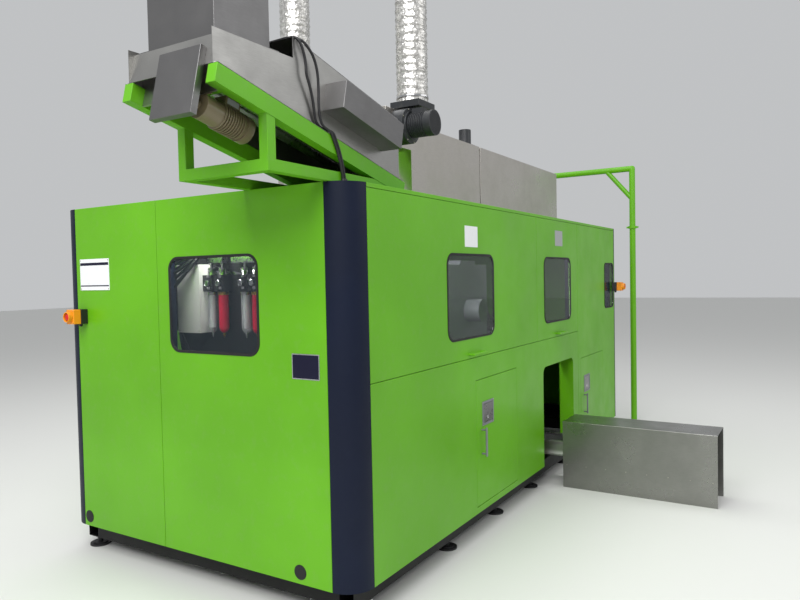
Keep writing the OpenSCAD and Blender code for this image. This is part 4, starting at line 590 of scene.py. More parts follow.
def repeat_group():
    """The node group that puts a part on every point, turned to its facing."""
    group = bpy.data.node_groups.get("Repeat On Points")
    if group:
        return group
    group = bpy.data.node_groups.new("Repeat On Points", "GeometryNodeTree")
    for name, way, kind in (
        ("Geometry", "INPUT", "Geometry"),
        ("Part", "INPUT", "Object"),
        ("Finish", "INPUT", "Material"),
        ("Geometry", "OUTPUT", "Geometry"),
    ):
        group.interface.new_socket(name, in_out=way, socket_type="NodeSocket" + kind)
    add = group.nodes.new
    start, end = add("NodeGroupInput"), add("NodeGroupOutput")
    info = add("GeometryNodeObjectInfo")
    points = add("GeometryNodeMeshToPoints")
    facing = add("GeometryNodeInputNamedAttribute")
    facing.data_type = "FLOAT_VECTOR"
    facing.inputs["Name"].default_value = "facing"
    align = add("FunctionNodeAlignRotationToVector")
    align.axis = "Z"
    place = add("GeometryNodeInstanceOnPoints")
    real = add("GeometryNodeRealizeInstances")
    finish = add("GeometryNodeSetMaterial")
    for source, out, target, into in (
        (start, "Geometry", points, "Mesh"),
        (start, "Part", info, "Object"),
        (points, "Points", place, "Points"),
        (info, "Geometry", place, "Instance"),
        (facing, "Attribute", align, "Vector"),
        (align, "Rotation", place, "Rotation"),
        (place, "Instances", real, "Geometry"),
        (real, "Geometry", finish, "Geometry"),
        (start, "Finish", finish, "Material"),
        (finish, "Geometry", end, "Geometry"),
    ):
        group.links.new(source.outputs[out], target.inputs[into])
    return group


def repeat(name, head, places, body="machine"):
    """Instances a zinc-plated head on (place, facing) pairs and keeps a plain mesh."""
    bm = bmesh.new()
    for profile, steps in head:
        add_lathe(bm, profile, (0, 0, 0), "Z", steps)
    bmesh.ops.recalc_face_normals(bm, faces=bm.faces)
    part = show(name + "_part", as_mesh(name + "_part", bm))
    mesh = bpy.data.meshes.new(name)
    mesh.from_pydata([p for p, _ in places], [], [])
    facing = mesh.attributes.new("facing", "FLOAT_VECTOR", "POINT")
    facing.data.foreach_set("vector", [c for _, n in places for c in Vector(n)])
    obj = show(name, mesh)
    modifier = obj.modifiers.new("repeat", "NODES")
    modifier.node_group = repeat_group()
    sockets = modifier.node_group.interface.items_tree
    keys = {i.name: i.identifier for i in sockets if i.in_out == "INPUT"}
    modifier[keys["Part"]] = part
    modifier[keys["Finish"]] = MATERIALS["zinc"]
    apply_all(obj)
    bpy.data.objects.remove(part)
    # The part's own material slot is empty, and goes.
    obj.data.materials.clear()
    obj.data.materials.append(MATERIALS["zinc"])
    return dress(obj, body)


# Heads as (profile, steps) pairs, each by its radius in mm


def cap_screw(size):
    """The head of a socket cap screw."""
    outside = [(size * 0.55, SUNK), (size, SUNK), (size, size * 0.8), (size * 0.86, size)]
    socket = [(size * 0.5, size), (size * 0.46, size * 0.45), (0, size * 0.45)]
    return [(outside + socket, 16)]


def hex_bolt(size):
    """A hexagon head on its washer."""
    top, wide = 1.2, size * 1.25
    washer = [(0, SUNK), (wide, SUNK), (wide, top), (0, top)]
    bolt = [(0, top), (size, top), (size, size * 0.8), (size * 0.85, size), (0, size)]
    return [(washer, 20), (bolt, 6)]


def pan_rivet(size):
    """A low domed head."""
    dome = circle(size, [math.radians(a) for a in (10, 35, 60, 80)])
    top = [(r, h * 0.5) for r, h in dome]
    return [([(size, SUNK), *top, (0, size * 0.5)], 14)]


# Property groups


class MachineSettings(PropertyGroup):
    fold_radius: FloatProperty(
        name="Fold radius", unit="LENGTH", default=0.0022, min=0.0005, max=0.005,
        description="Outer radius of the bends in the sheets and tubes",
    )
    screw_pitch: FloatProperty(
        name="Trough screw pitch", unit="LENGTH", default=0.15, min=0.06,
        description="Distance between the bolts along the trough's flanges",
    )
    screw_size: FloatProperty(
        name="Screw head radius", unit="LENGTH", default=0.005, min=0.002, max=0.009,
        description="Half the width over the corners of the trough's bolt heads",
    )
    hose_radius: FloatProperty(
        name="Service hose radius", unit="LENGTH", default=0.009, min=0.004, max=0.014,
        description="Half the diameter of the hoses behind the end window",
    )


class FinishSettings(PropertyGroup):
    panel_green: StringProperty(
        name="Panel green", default="60A712", description="sRGB hex of the folded sheets"
    )
    # A little darker than the panel green: painted shade on the sorter's tubes
    frame_green: StringProperty(
        name="Frame green", default="5BA114", description="sRGB hex of the sorter's tubes"
    )
    column_navy: StringProperty(
        name="Column navy", default="081228", description="sRGB hex of columns and frame"
    )


class StageSettings(PropertyGroup):
    key_power: FloatProperty(
        name="Key light", unit="POWER", default=620, min=0, description="From the end's side"
    )
    fill_power: FloatProperty(
        name="Fill light", unit="POWER", default=97, min=0, description="On the long front"
    )
    top_power: FloatProperty(
        name="Top light", unit="POWER", default=215, min=0, description="On roof and hoods"
    )
    cabinet_power: FloatProperty(
        name="Cabinet lights", unit="POWER", default=24, min=0, description="Each, in a bay"
    )
    end_power: FloatProperty(
        name="End window light", unit="POWER", default=6, min=0, description="By the filters"
    )
    world_strength: FloatProperty(
        name="World strength", default=0.62, min=0, description="Even light of the studio"
    )
    lens: FloatProperty(
        name="Lens", unit="CAMERA", default=31.0, min=10, description="On a 36 mm sensor"
    )


# The finishes of the CAD nodes that keep their own shape; the others are green.
PLAIN = {
    "iron": "levelling_feet",
    "navy": "cabinet_frame corner_columns",
    "door_window": "door_pane_1 door_pane_2",
    "window": "fixed_panes",
    "zinc": "concealed_hinges",
    "steel": "chain_track index_wheel_left index_wheel_right stretch_unit sorter_roller_front"
    " sorter_roller_rear conveyor_roller_drive conveyor_roller_end",
    "dark_steel": "carrier_chain",
    "oven": "oven_lamp_boxes",
    "quartz": "oven_lamps",
    "clamp": "clamp_frame",
    "alu": "clamp_half_front clamp_half_rear base_mould",
    "rubber": "kicker_wheel",
    "foil": "flexible_ducts",
    "belt": "conveyor_belt",
    "box_white": "air_service_unit electrical_panel",
    "orange": "stop_button_boxes",
    "red": "stop_button_left stop_button_right",
    "cable": "sorter_cables",
}

# Folded sheets and tubes: finish, slot and nodes
FOLDED = (
    ("green", "green_paint", "end_panels rear_panels roof_panel front_lower_panel"
     " front_right_panel upper_door_1 upper_door_2 lower_door_left lower_door_right"),
    ("green_frame", "green_paint", "sorter_frame"),
    ("base", "base_paint", "base_frame"),
    ("trough", "trough_steel", "sorter_trough"),
    ("cover", "cover_steel", "sorter_covers"),
    ("hood", "hood_steel", "roof_hoods"),
    ("housing", "housing_steel", "discharge_housing"),
    ("rail", "conveyor_steel", "conveyor_frame"),
    ("bed", "bed_paint", "machine_bed"),
)
# Mouldings and castings with broken edges: finish, slot, nodes and the edges' width
EASED = (
    ("rubber", "seal_rubber", "door_seal_1 door_seal_2 fixed_seals", 0.0008),
    ("steel", "latch_steel", "latch_paddle_left latch_paddle_right", 0.0008),
    ("grey_plastic", "handle_black", "lower_handle_left lower_handle_right", 0.0008),
    ("motor", "gearmotor_paint", "sorter_gearmotor", 0.0010),
    ("fan", "blower_paint", "blower", 0.0012),
)


# Operators


class MACHINE_OT_finishes(Operator):
    """Give every CAD node its material"""

    bl_idname = "machine.finishes"
    bl_label = "Finishes"

    def execute(self, context):
        make_materials()
        rows = [*PLAIN.items(), *((row[0], row[2]) for row in FOLDED + EASED)]
        keys = {node: mat for mat, nodes in rows for node in nodes.split()}
        for node, obj in frame["nodes"].items():
            obj.data.materials.clear()
            obj.data.materials.append(MATERIALS[keys.get(node, "green")])
        return {"FINISHED"}


class MACHINE_OT_skins(Operator):
    """Round the folds of sheets and tubes, and break the edges of castings and seals"""

    bl_idname = "machine.skins"
    bl_label = "Skins"

    def execute(self, context):
        radius = context.scene.machine_settings.fold_radius
        for mat, slot, nodes in FOLDED:
            for node in nodes.split():
                folded(node, mat, radius)
        for mat, slot, nodes, width in EASED:
            for node in nodes.split():
                eased(node, mat, width)
        return {"FINISHED"}


# Each stop box is drawn from the middle of its back, in metres, and faces the front.
STOP_PLACES = {
    "left": Matrix.Translation(mm(0, 1950, 1423)) @ Matrix.Rotation(-math.pi / 2, 4, "Z"),
    "right": Matrix.Translation(mm(4494, -3.3, 1480)),
}
STOP_BASE = ((-0.036, -0.043, -0.043), (0.036, 0, 0.043))
STOP_COVER = ((-0.0355, -0.092, -0.0425), (0.0355, -0.0445, 0.0425))
STOP_GLAND = [(11, 0), (11, 6), (9.4, 7), (9.4, 14), (6, 17), (0, 17)]
STOP_COLLAR = [
    (31, -1), (31, 21), (29.6, 25), (27, 26), (25.6, 25), (25, 21), (25, 0), (0, 0)
]
STOP_HEAD = [
    (7, -16), (7, 0), (18.6, 0), (20, 1.6), (20, 7), (19, 9.4), (15, 12.6), (11, 13.9),
    (8, 13.4), (0, 12.8),
]
STOP_BRACKET = ((4510.3, -3.3, 1452), (4533, 0, 1508), 0.6)


class MACHINE_OT_stops(Operator):
    """Two-part stop boxes with collar, mushroom button, screws and gland"""

    bl_idname = "machine.stops"
    bl_label = "Stop buttons"

    def execute(self, context):
        for side, place in STOP_PLACES.items():
            base, cover, button = bmesh.new(), bmesh.new(), bmesh.new()
            add_box(base, *STOP_BASE, 0.003, 3)
            add_lathe(base, STOP_GLAND, Vector((0, -0.024, -0.0425)), "-Z", 12)
            add_box(cover, *STOP_COVER, 0.005, 4)
            add_lathe(cover, STOP_COLLAR, Vector((0, -0.092, 0)), "-Y", 40)
            add_lathe(button, STOP_HEAD, Vector((0, -0.101, 0)), "-Y", 40)
            for bm in (base, cover, button):
                bm.transform(place)
            finish_piece("stop_base_" + side, base, "black", "machine")
            # The first cover stands for the CAD node, which holds both boxes.
            both = ("stop_button_boxes",) if side == "left" else ()
            finish_piece(
                "stop_cover_" + side, cover, "orange", "machine", replaces=both
            )
            finish_piece(
                "stop_head_" + side, button, "red", "stop_" + side, 30,
                ("stop_button_" + side,),
            )
            out = place.to_3x3() @ Vector((0, -1, 0))
            corners = [(x, z) for x in (-0.030, 0.030) for z in (-0.037, 0.037)]
            spots = [(place @ Vector((x, -0.0918, z)), out) for x, z in corners]
            repeat("stop_screws_" + side, cap_screw(2.4), spots)
        build("stop_bracket", "zinc", [STOP_BRACKET])
        return {"FINISHED"}


PLATES = (
    ("door_plate_1", "plate_white", "door_1", (1160, -1.6, 1789), (1334, 0, 1914)),
    ("door_plate_2", "plate_grey", "door_2", (2762, -1.6, 1839), (2941, 0, 1960)),
    ("data_plate_rim", "alu", "machine", (-1.6, 186, 1146), (0, 351, 1267)),
    ("data_plate_face", "plate_blue", "machine", (-2.2, 191, 1151), (-1.2, 346, 1262)),
    ("end_sign", "plate_white", "machine", (-3, 1700, 1577), (0, 1970, 1760)),
    ("end_sign_band_high", "plate_blue", "machine", (-3.5, 1703, 1722), (-2.6, 1967, 1738)),
    ("end_sign_band_low", "plate_blue", "machine", (-3.5, 1703, 1599), (-2.6, 1967, 1606)),
)
# Heads at a plate's corners: name, radius, x, the two y and the two z
PLATE_HEADS = (
    ("data_plate_rivets", 1.8, -1.6, (188.6, 348.4), (1148.6, 1264.4)),
    ("end_sign_screws", 4, -3, (1708, 1962), (1585, 1752)),
)


class MACHINE_OT_plates(Operator):
    """Bare plates and signs where the machine carries them"""

    bl_idname = "machine.plates"
    bl_label = "Plates"

    def execute(self, context):
        for name, mat, body, low, high in PLATES:
            build(name, mat, [(low, high, 0.35)], body=body)
        for name, size, x, wide, tall in PLATE_HEADS:
            spots = [(mm(x, y, z), (-1, 0, 0)) for y in wide for z in tall]
            repeat(name, pan_rivet(size), spots)
        return {"FINISHED"}


# Each paddle's middle on the front, with the lock below it and screws at its corners
PADDLES = (("left", 1448, 760), ("right", 3577, 644))
LOCK_DROP = 30
PADDLE_CORNERS = [(x, z) for x in (-80, 80) for z in (-70, 70)]
LOCK = [(12, -1), (12, 0.6), (11, 1.8), (8, 1.8), (7.6, 0.8), (0, 0.8)]
# The lifting holes in the end, and the caps in them
HOLE_Y = (332, 1963)
HOLE_Z = 217
HOLE_CAP = [(34.6, -18), (34.6, -3), (36.5, -1), (36.5, 1.4), (34, 2.4), (20, 2.6), (0, 2.4)]


class MACHINE_OT_latches(Operator):
    """Locks and screws round the paddles, and caps in the lifting holes"""

    bl_idname = "machine.latches"
    bl_label = "Latches"

    def execute(self, context):
        for side, x, z in PADDLES:
            lock = z - LOCK_DROP
            key = ((x - 0.9, -2.6, lock - 4), (x + 0.9, -1.2, lock + 4), 0.3)
            turned = (LOCK, mm(x, -1, lock), "-Y")
            paddle = "paddle_" + side
            build("latch_lock_" + side, "chrome", [key], [turned], paddle)
            spots = [(mm(x + a, -3, z + b), (0, -1, 0)) for a, b in PADDLE_CORNERS]
            repeat("latch_screws_" + side, pan_rivet(3.2), spots, "low_door_" + side)
        caps = [(HOLE_CAP, mm(0, y, HOLE_Z), "-X", 40) for y in HOLE_Y]
        build("lifting_hole_caps", "rubber", lathes=caps)
        return {"FINISHED"}


# The filter sets hang in a row along y; their heads start at HEAD_LOW.
FILTER_X = 215
FILTER_Y = (1100, 1013, 845, 765)
HEAD_LOW = 1560
HEAD_HIGH = HEAD_LOW + 91
BOWL = [
    (27.5, 1558), (27.5, 1362), (24, 1346), (14, 1334), (6, 1331), (6, 1334), (13, 1338),
    (22, 1349), (24.6, 1363), (24.6, 1558),
]
ELEMENT = [(15, 1360), (15, 1545), (10, 1556), (0, 1556)]
ELEMENT_FOOT = [(17, 1404), (17, 1410), (15, 1411)]
DRAIN = [(8, 1335), (8, 1318), (5, 1316), (5, 1308), (3, 1306), (0, 1306)]
BOWL_RING = [(30, 1540), (31, 1542), (31, 1556), (29, 1558)]
GAUGE = [(17, 0), (17, 10), (15, 12), (14, 10), (14, 8), (0, 8)]
PIPE = [(9, 0), (9, 70), (13, 71), (13, 84), (9, 85), (9, 130)]
NUT = [(0, 0), (14, 0), (14, 14), (0, 14)]
# What the faces of the air service nodes are made of, by place
SERVICE_RULES = [
    ((159, 1139, 1329), (251, 1321, 1711), "box_white"),
    ((150, 1170, 1600), (251, 1400, 1900), "rubber"),
    ((1000, 400, 100), (1900, 900, 345), "base"),
    ((1000, 400, 345), (1900, 900, 700), "navy"),
    ((2470, 79, 159), (2600, 141, 470), "alu"),
    ((2470, 0, 159), (2600, 80, 470), "brass"),
]
MANIFOLD = (
    ((198, 1000, 1716), (232, 1113, 1750), 3), ((198, 752, 1712), (232, 935, 1744), 3)
)
WHITE_BOX_Y = (1152, 1308)
WHITE_BOX_Z = (1342, 1698)


def upper_hose(k):
    """One of the hoses that leave the manifold, pass the white box and drop."""
    x, drop = 100 + 9 * (k % 3), 32 * k
    return [
        (FILTER_X, 1132 + 4 * k, 1800), (x + 40, 1140, 1772 - 6 * k),
        (x, 1190, 1748 - 0.5 * drop), (x - 8, 1290, 1738 - 0.9 * drop),
        (x - 10, 1380, 1716 - drop), (x, 1425, 1640 - drop),
        (x + 50, 1420, 1560 - drop), (250, 1408, 1530 - drop),
    ]


def lower_hose(k):
    """One of the hoses that run down beside the white box."""
    x = 222 - 14 * k
    return [
        (x, 1364 + 14 * k, 1648), (x, 1376 + 6 * k, 1500),
        (214 - 10 * k, 1372 - 12 * k, 1340), (230, 1362 - 20 * k, 1200),
        (236, 1350 - 22 * k, 1086),
    ]


class MACHINE_OT_service(Operator):
    """Filter sets, gauges, hoses and manifold behind the end window, and the receiver"""

    bl_idname = "machine.service"
    bl_label = "Air service"

    def execute(self, context):
        # The CAD's bowls are left out, by a rule with no finish, for the clear ones.
        parts = ((29, 1300, HEAD_LOW - 1, None), (36, HEAD_LOW - 2, HEAD_HIGH, "black"),
                 (36, HEAD_HIGH, 1700, "chrome"))
        rules = [
            ((179, y - half, low), (251, y + half, high), mat)
            for half, low, high, mat in parts
            for y in FILTER_Y
        ]
        sorted_finish("air_service_unit", rules + SERVICE_RULES, "black")
        for i, y in enumerate(FILTER_Y):
            red = i % 2 == 1
            axis = mm(FILTER_X, y, 0)
            nuts = [mm(174, y - 22, HEAD_LOW + 12 + up) for up in (0, 62)]
            pieces = (
                ("filter_bowl", "red_bowl" if red else "bowl", [(BOWL, axis, "Z", 32, True)]),
                ("filter_element", "red" if red else "plate_white",
                 [(ELEMENT, axis, "Z", 24), (ELEMENT_FOOT, axis, "Z", 24)]),
                ("filter_drain", "brass" if red else "chrome",
                 [(DRAIN, axis), (BOWL_RING, axis, "Z", 24)]),
                ("gauge", "alu", [(GAUGE, mm(180, y, HEAD_LOW + 45), "-X")]),
                ("service_pipe", "chrome",
                 [(PIPE, mm(FILTER_X, y, 1688))] + [(NUT, nut, "Z", 6) for nut in nuts]),
            )
            for name, mat, lathes in pieces:
                build(f"{name}_{i + 1}", mat, lathes=lathes)
        build("hose_manifold", "alu", MANIFOLD)
        hoses = bmesh.new()
        radius = context.scene.machine_settings.hose_radius
        for path in [upper_hose(k) for k in range(7)] + [lower_hose(k) for k in range(4)]:
            add_tube(hoses, smooth_path([mm(*p) for p in path], 3), radius)
        finish_piece("service_hoses", hoses, "cable", "machine", 60)
        spots = [(mm(160, y, z), (-1, 0, 0)) for y in WHITE_BOX_Y for z in WHITE_BOX_Z]
        repeat("white_box_screws", pan_rivet(4), spots)
        return {"FINISHED"}


# The rows of devices on the electrical panel: depth, height and finish
PANEL_X = (3400, 4100)
PANEL_ROWS = (
    ((131, 140), (150, 960), "rail"),
    ((0, 140), (245, 295), "grey_plastic"),
    ((0, 140), (445, 495), "grey_plastic"),
    ((0, 140), (645, 695), "grey_plastic"),
    ((0, 140), (855, 905), "grey_plastic"),
    ((0, 140), (296, 440), "box_white"),
    ((0, 71), (500, 600), "grey_plastic"),
    ((0, 140), (500, 600), "black"),
    ((0, 140), (700, 810), "plate_grey"),
)
DEVICE_X = 3470
DRIVE_STEP = 135
CONTACTOR_STEP = 52
KNOB = [(9, -1), (9, 5), (7.5, 6), (0, 6)]


class MACHINE_OT_electrics(Operator):
    """Devices on the panel behind the lower right door"""

    bl_idname = "machine.electrics"
    bl_label = "Electrics"

    def execute(self, context):
        left, right = PANEL_X
        rules = [
            ((left, deep[0], tall[0]), (right, deep[1], tall[1]), mat)
            for deep, tall, mat in PANEL_ROWS
        ]
        sorted_finish("electrical_panel", rules, "rail")
        drives = [DEVICE_X + k * DRIVE_STEP for k in range(4)]
        pads = [((x + 22, 62.5, 385), (x + 88, 66, 416), 1.0) for x in drives]
        knobs = [(KNOB, mm(x + 55, 65, 345), "-Y") for x in drives]
        build("drive_keypads", "black", pads, knobs)
        levers = [DEVICE_X + 16 + k * CONTACTOR_STEP for k in range(10)]
        levers = [((x, 57, 546), (x + 12, 63.4, 558), 1.0) for x in levers]
        build("contactor_levers", "orange", levers)
        return {"FINISHED"}


# Each duct's x, y and lower end
DUCTS = ((1020, 1130, 2060.3), (1185, 352, 2680.3))
DUCT_STEPS = 64
DUCT_RING = 6.5
CLIP = [(98, -6), (100.2, -5), (100.6, 0), (100.2, 5), (98, 6)]


def duct_radius(i, a):
    """Radius in mm of a ring at an angle: ribs that wander, deeper folds and dents."""
    rib = 0.5 + 0.5 * math.cos(math.pi * i + 0.5 * math.sin(3 * a))
    fold = 0.5 + 0.5 * math.cos(0.89 * i + 0.4 * math.sin(2 * a))
    dent = math.sin(5 * a + i * 0.7) * math.sin(2.3 * i + 1.7 * a)
    return 90.4 + 3.9 * rib + 4.4 * fold + 0.9 * dent


class MACHINE_OT_ducts(Operator):
    """Two foil ducts with wandering ribs in deeper folds, and worm-drive clips"""

    bl_idname = "machine.ducts"
    bl_label = "Ducts"

    def execute(self, context):
        bm = bmesh.new()
        clips, bolts = [], []
        for x, y, low in DUCTS:
            count = int((DUCT_TOP - low) / DUCT_RING)
            rings = []
            for i in range(count + 1):
                ring = []
                for a in turns(DUCT_STEPS):
                    r = duct_radius(i, a)
                    wave = 1.2 * math.sin(4 * a + i) * (0 < i < count)
                    z = low + (DUCT_TOP - low) * i / count + wave
                    ring.append(bm.verts.new(mm(x + r * math.cos(a), y + r * math.sin(a), z)))
                rings.append(ring)
            bridge(bm, rings)
            for z in (low + 30, DUCT_TOP - 30):
                clips.append((CLIP, mm(x, y, z), "Z", 48))
                bolts.append(((x - 12, y - 103.5, z - 5), (x + 12, y - 99, z + 5), 1.5))
        finish_piece(
            "foil_ducts", bm, "foil", "machine", 180, ("flexible_ducts",)
        )
        build("duct_clips", "chrome", bolts, clips)
        return {"FINISHED"}


# The blower's axis, its volute's screws in front and its motor's cowl
FAN_X = 1080
FAN_Z = 2520
VOLUTE_FRONT = 303.4
VOLUTE_RIM = circle(98, [math.radians(18 + 45 * k) for k in range(8)])
COWL_RADIUS = 68
GRILLE_STEP = 14
# On the sorter's slope: a plate on the gearmotor in metres, and in mm the screws of its
# terminal box and those of the gear case's two covers, as v, w, radius and angles
MOTOR_PLATE = ((0.176, 0.1148, -0.066), (0.240, 0.1162, -0.042))
LID_SCREWS = [(u, v, -35) for u in (174, 242) for v in (121, 179)]
GEAR_FACE = 6.2
GEAR_COVERS = ((150, -118, 30, (0.6, 2.2, 3.8, 5.4)), (222, 50, 19, (0.8, 2.9, 5.0)))


class MACHINE_OT_drives(Operator):
    """Gearmotor and blower: a bare plate, screws and the cowl's grille"""

    bl_idname = "machine.drives"
    bl_label = "Drives"

    def execute(self, context):
        bm = bmesh.new()
        add_box(bm, *MOTOR_PLATE, 0.0004)
        bm.transform(INCLINE)
        finish_piece("motor_plate", bm, "plate_grey", "machine")
        spots = [(incline(*place), FROM_TROUGH) for place in LID_SCREWS]
        repeat("motor_box_screws", cap_screw(2.6), spots)
        spots = [
            (incline(GEAR_FACE, v + a, w + b), UP_SLOPE)
            for v, w, radius, angles in GEAR_COVERS
            for a, b in circle(radius, angles)
        ]
        repeat("gear_case_screws", cap_screw(3.4), spots)
        spots = [(mm(FAN_X + a, VOLUTE_FRONT, FAN_Z + b), (0, -1, 0)) for a, b in VOLUTE_RIM]
        repeat("volute_screws", hex_bolt(4), spots)
        bars = []
        for off in [k * GRILLE_STEP for k in range(-4, 5)]:
            x, half = FAN_X + off, math.sqrt(COWL_RADIUS**2 - off**2)
            low, high = (x - 1.6, 137.6, FAN_Z - half), (x + 1.6, 141, FAN_Z + half)
            bars.append((low, high, 0.8, 1))
        build("cowl_grille", "black", bars)
        return {"FINISHED"}


# Bolts along both flanges of the trough
TROUGH_START = 40
TROUGH_RUN = 1280
FLANGES = (13, 517)
# The hoods' ends, fronts and left side, with rivets up their corners and along their feet
HOODS = ((1252, 2238), (2276, 3988))
HOOD_FRONT = 400
HOOD_SIDE = 1240
HOOD_SIDE_Y = (640, 1488)
RIVETS_UP = [2085 + 78 * k for k in range(7)]
RIVET_STEP = 164
RIVET_FOOT = 2072
# The discharge housing's walls, as x and the way they face, with rivets along their feet
HOUSING_WALLS = ((2550, -1), (2860, 1))
HOUSING_RIVETS = [-1160 + 145 * k for k in range(8)]
HOUSING_FOOT = 172
# The wheels' centres: chain pitch 110 mm, 16 pockets
WHEELS = (("left", 1150), ("right", 3350))
WHEEL_Y = 700 + 110 / (2 * math.sin(math.radians(11.25)))
WHEEL_TOP = 1238


class MACHINE_OT_fasteners(Operator):
    """Screws and rivets on trough, hoods, housing and index wheels"""

    bl_idname = "machine.fasteners"
    bl_label = "Fasteners"

    def execute(self, context):
        values = context.scene.machine_settings
        pitch = values.screw_pitch / MM
        steps = range(int(TROUGH_RUN // pitch) + 1)
        spots = [
            (incline(TROUGH_START + k * pitch, v, 2.3), FROM_TROUGH) for k in steps for v in FLANGES
        ]
        bolt = hex_bolt(values.screw_size / MM)
        repeat("trough_screws", bolt, spots)
        spots = []
        for x in [edge for hood in HOODS for edge in hood]:
            spots += [(mm(x, HOOD_FRONT, z), (0, -1, 0)) for z in RIVETS_UP]
        spots += [(mm(HOOD_SIDE, y, z), (-1, 0, 0)) for y in HOOD_SIDE_Y for z in RIVETS_UP]
        for left, right in HOODS:
            n = int((right - left) // RIVET_STEP)
            feet = [left + (right - left) * k / n for k in range(1, n)]
            spots += [(mm(x, HOOD_FRONT, RIVET_FOOT), (0, -1, 0)) for x in feet]
        repeat("hood_rivets", pan_rivet(3.6), spots)
        spots = [
            (mm(x, y, HOUSING_FOOT), (out, 0, 0)) for x, out in HOUSING_WALLS for y in HOUSING_RIVETS
        ]
        repeat("housing_screws", pan_rivet(3.4), spots)
        for side, x in WHEELS:
            rim = circle(45, turns(6))
            spots = [(mm(x + a, WHEEL_Y + b, WHEEL_TOP), (0, 0, 1)) for a, b in rim]
            repeat("wheel_screws_" + side, cap_screw(7), spots, "wheel_" + side)
        return {"FINISHED"}


CABLE_A = [
    (-160, 400, 2651), (-165, 250, 2652), (-171, 150, 2654), (-166, 116, 2648),
    (-140, 104, 2628), (-95, 102, 2590), (-70, 102, 2530), (-63, 104, 2450),
    (-66, 104, 2380), (-58, 104, 2325), (-38, 105, 2300), (-10, 105, 2290),
    (10, 99, 2282), (23, 98, 2262), (56, 98, 2207), (85, 98, 2130), (98, 98, 2061),
]
CABLE_B = [
    (-180, 380, 2656), (-186, 250, 2658), (-190, 150, 2658), (-186, 118, 2650),
    (-174, 106, 2622), (-156, 104, 2580), (-148, 104, 2540), (-147, 104, 2500),
    (-124, 106, 2462), (-98, 110, 2404), (-82, 116, 2350), (-68, 121, 2316),
    (-44, 122, 2299), (-14, 121, 2289), (10, 112, 2288), (26, 104, 2284),
    (35, 99, 2275), (43, 98, 2258), (74, 98, 2207), (101, 98, 2130), (114, 98, 2061),
]
# The drawn cables are a little thicker than the CAD's, which they cover.
CABLE_RADIUS = 0.0061
GLAND = [(13, 0), (13, 6), (10, 7), (10, 16), (7.4, 20), (6.3, 20)]
GLAND_Y = 98


class MACHINE_OT_cables(Operator):
    """Cables over the trough's front wall, with glands at the roof"""

    bl_idname = "machine.cables"
    bl_label = "Cables"

    def execute(self, context):
        glands = []
        for name, path, replaces in (
            ("cable_a", CABLE_A, ("sorter_cables",)),
            ("cable_b", CABLE_B, ()),
        ):
            points = smooth_path([mm(*p) for p in path])
            bm = bmesh.new()
            add_tube(bm, points, CABLE_RADIUS)
            obj = finish_piece(name, bm, "cable", "machine", 50, replaces)
            length = sum((b - a).length for a, b in zip(points, points[1:]))
            tuple(points[0])
            glands.append((GLAND, mm(path[-1][0], GLAND_Y, ROOF), "Z", 20))
        build("cable_glands", "black", lathes=glands)
        return {"FINISHED"}


# Studio lights: name, size in metres, place and aim in the shared frame
LIGHTS = (
    ("Key", "key_power", 6.0, (-6.5, -2.0, 6.5), (-0.5, 0.0, 1.0)),
    ("Fill", "fill_power", 5.0, (1.5, -7.0, 5.0), (0.8, 0.0, 1.0)),
    ("Top", "top_power", 6.0, (0.5, 1.5, 7.5), (0.5, 0.5, 0.0)),
    ("Cabinet end", "end_power", 0.12, mm(100, 1060, 1950), mm(200, 1040, 1400)),
    ("Cabinet left", "cabinet_power", 0.5, mm(1250, 420, 1975), mm(1350, 600, 1100)),
    ("Cabinet right", "cabinet_power", 0.5, mm(2900, 420, 1975), mm(2800, 600, 1100)),
)


def camera_turn(yaw, pitch, roll):
    """The camera's matrix from heading, rise and tilt in radians."""
    level = math.cos(pitch)
    ahead = Vector((math.cos(yaw) * level, math.sin(yaw) * level, math.sin(pitch)))
    right = ahead.cross(Vector((0, 0, 1))).normalized()
    up = right.cross(ahead)
    side = right * math.cos(roll) + up * math.sin(roll)
    over = up * math.cos(roll) - right * math.sin(roll)
    return Matrix((side, over, -ahead)).transposed().to_4x4()


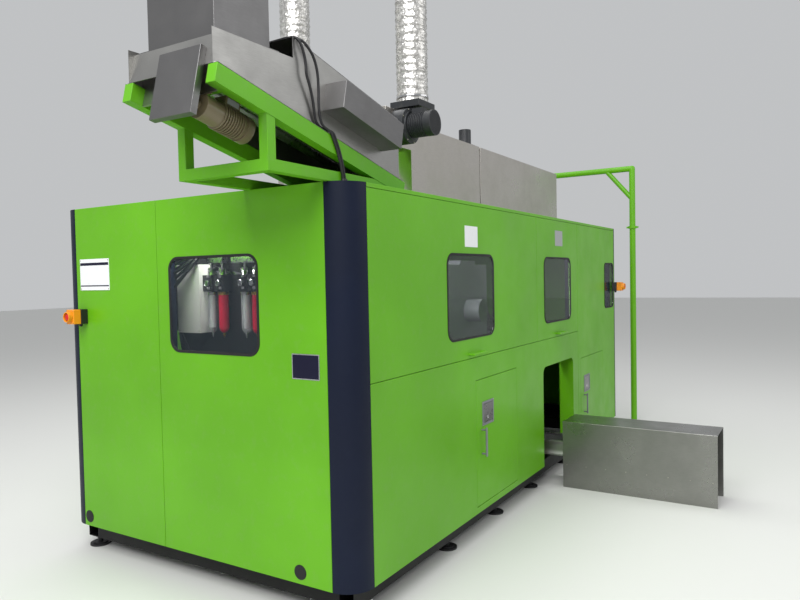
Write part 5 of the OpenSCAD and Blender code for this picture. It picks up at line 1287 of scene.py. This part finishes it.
class MACHINE_OT_stage(Operator):
    """Floor, soft studio light and the camera at the photograph's angle"""

    bl_idname = "machine.stage"
    bl_label = "Stage"

    def execute(self, context):
        scene = context.scene
        values = scene.machine_stage
        scene.view_settings.view_transform = "Standard"
        scene.view_settings.look = "None"
        camera = bpy.data.cameras.new("Camera")
        camera.lens = values.lens
        camera.sensor_width = 36.0
        camera.clip_end = CAMERA_FAR
        scene.camera = show("Camera", camera)
        turn = camera_turn(*(math.radians(a) for a in CAMERA_ANGLES))
        scene.camera.matrix_world = Matrix.Translation(CAMERA_PLACE) @ turn

        mesh = bpy.data.meshes.new("Floor")
        s = FLOOR_HALF
        mesh.from_pydata([(-s, -s, 0), (s, -s, 0), (s, s, 0), (-s, s, 0)], [], [(0, 1, 2, 3)])
        # Matt pale floor paint: soft shadows and hardly any mirror
        look = Finish("pale_studio_floor")
        look.put(look.surface, Base_Color=colour("D9D9D6"), Roughness=0.55)
        mesh.materials.append(look.mat)
        show("Floor", mesh)

        world = bpy.data.worlds.new("World")
        world.use_nodes = True
        back = world.node_tree.nodes["Background"]
        back.inputs["Color"].default_value = colour("EEF0F2")
        back.inputs["Strength"].default_value = values.world_strength
        scene.world = world
        for name, power, size, place, aim in LIGHTS:
            light = bpy.data.lights.new(name, "AREA")
            light.energy = getattr(values, power)
            light.size = size
            facing = (Vector(place) - Vector(aim)).to_track_quat("Z", "Y").to_matrix().to_4x4()
            show(name, light).matrix_world = Matrix.Translation(place) @ facing
        return {"FINISHED"}


# The operators in the order of their calls
STEPS = [
    MACHINE_OT_stage, MACHINE_OT_finishes, MACHINE_OT_cables, MACHINE_OT_skins,
    MACHINE_OT_stops, MACHINE_OT_plates, MACHINE_OT_latches, MACHINE_OT_service,
    MACHINE_OT_electrics, MACHINE_OT_ducts, MACHINE_OT_drives, MACHINE_OT_fasteners,
]


class MACHINE_PT_panel(Panel):
    """Settings and steps in the sidebar"""

    bl_label = "Blow Moulding Machine"
    bl_idname = "MACHINE_PT_panel"
    bl_space_type = "VIEW_3D"
    bl_region_type = "UI"
    bl_category = "Machine"

    def draw(self, context):
        column = self.layout.column()
        for group in ("machine_settings", "machine_finishes", "machine_stage"):
            values = getattr(context.scene, group)
            for name in values.__annotations__:
                column.prop(values, name)
        for step in STEPS:
            column.operator(step.bl_idname)


CLASSES = [MachineSettings, FinishSettings, StageSettings, *STEPS, MACHINE_PT_panel]


def register():
    for cls in CLASSES:
        bpy.utils.register_class(cls)
    bpy.types.Scene.machine_settings = PointerProperty(type=MachineSettings)
    bpy.types.Scene.machine_finishes = PointerProperty(type=FinishSettings)
    bpy.types.Scene.machine_stage = PointerProperty(type=StageSettings)


def unregister():
    del bpy.types.Scene.machine_stage
    del bpy.types.Scene.machine_finishes
    del bpy.types.Scene.machine_settings
    for cls in reversed(CLASSES):
        bpy.utils.unregister_class(cls)


def main():
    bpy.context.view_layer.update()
    register()
    for step in STEPS:
        getattr(bpy.ops.machine, step.bl_idname.split(".")[1])()


if __name__ == "__main__":
    main()
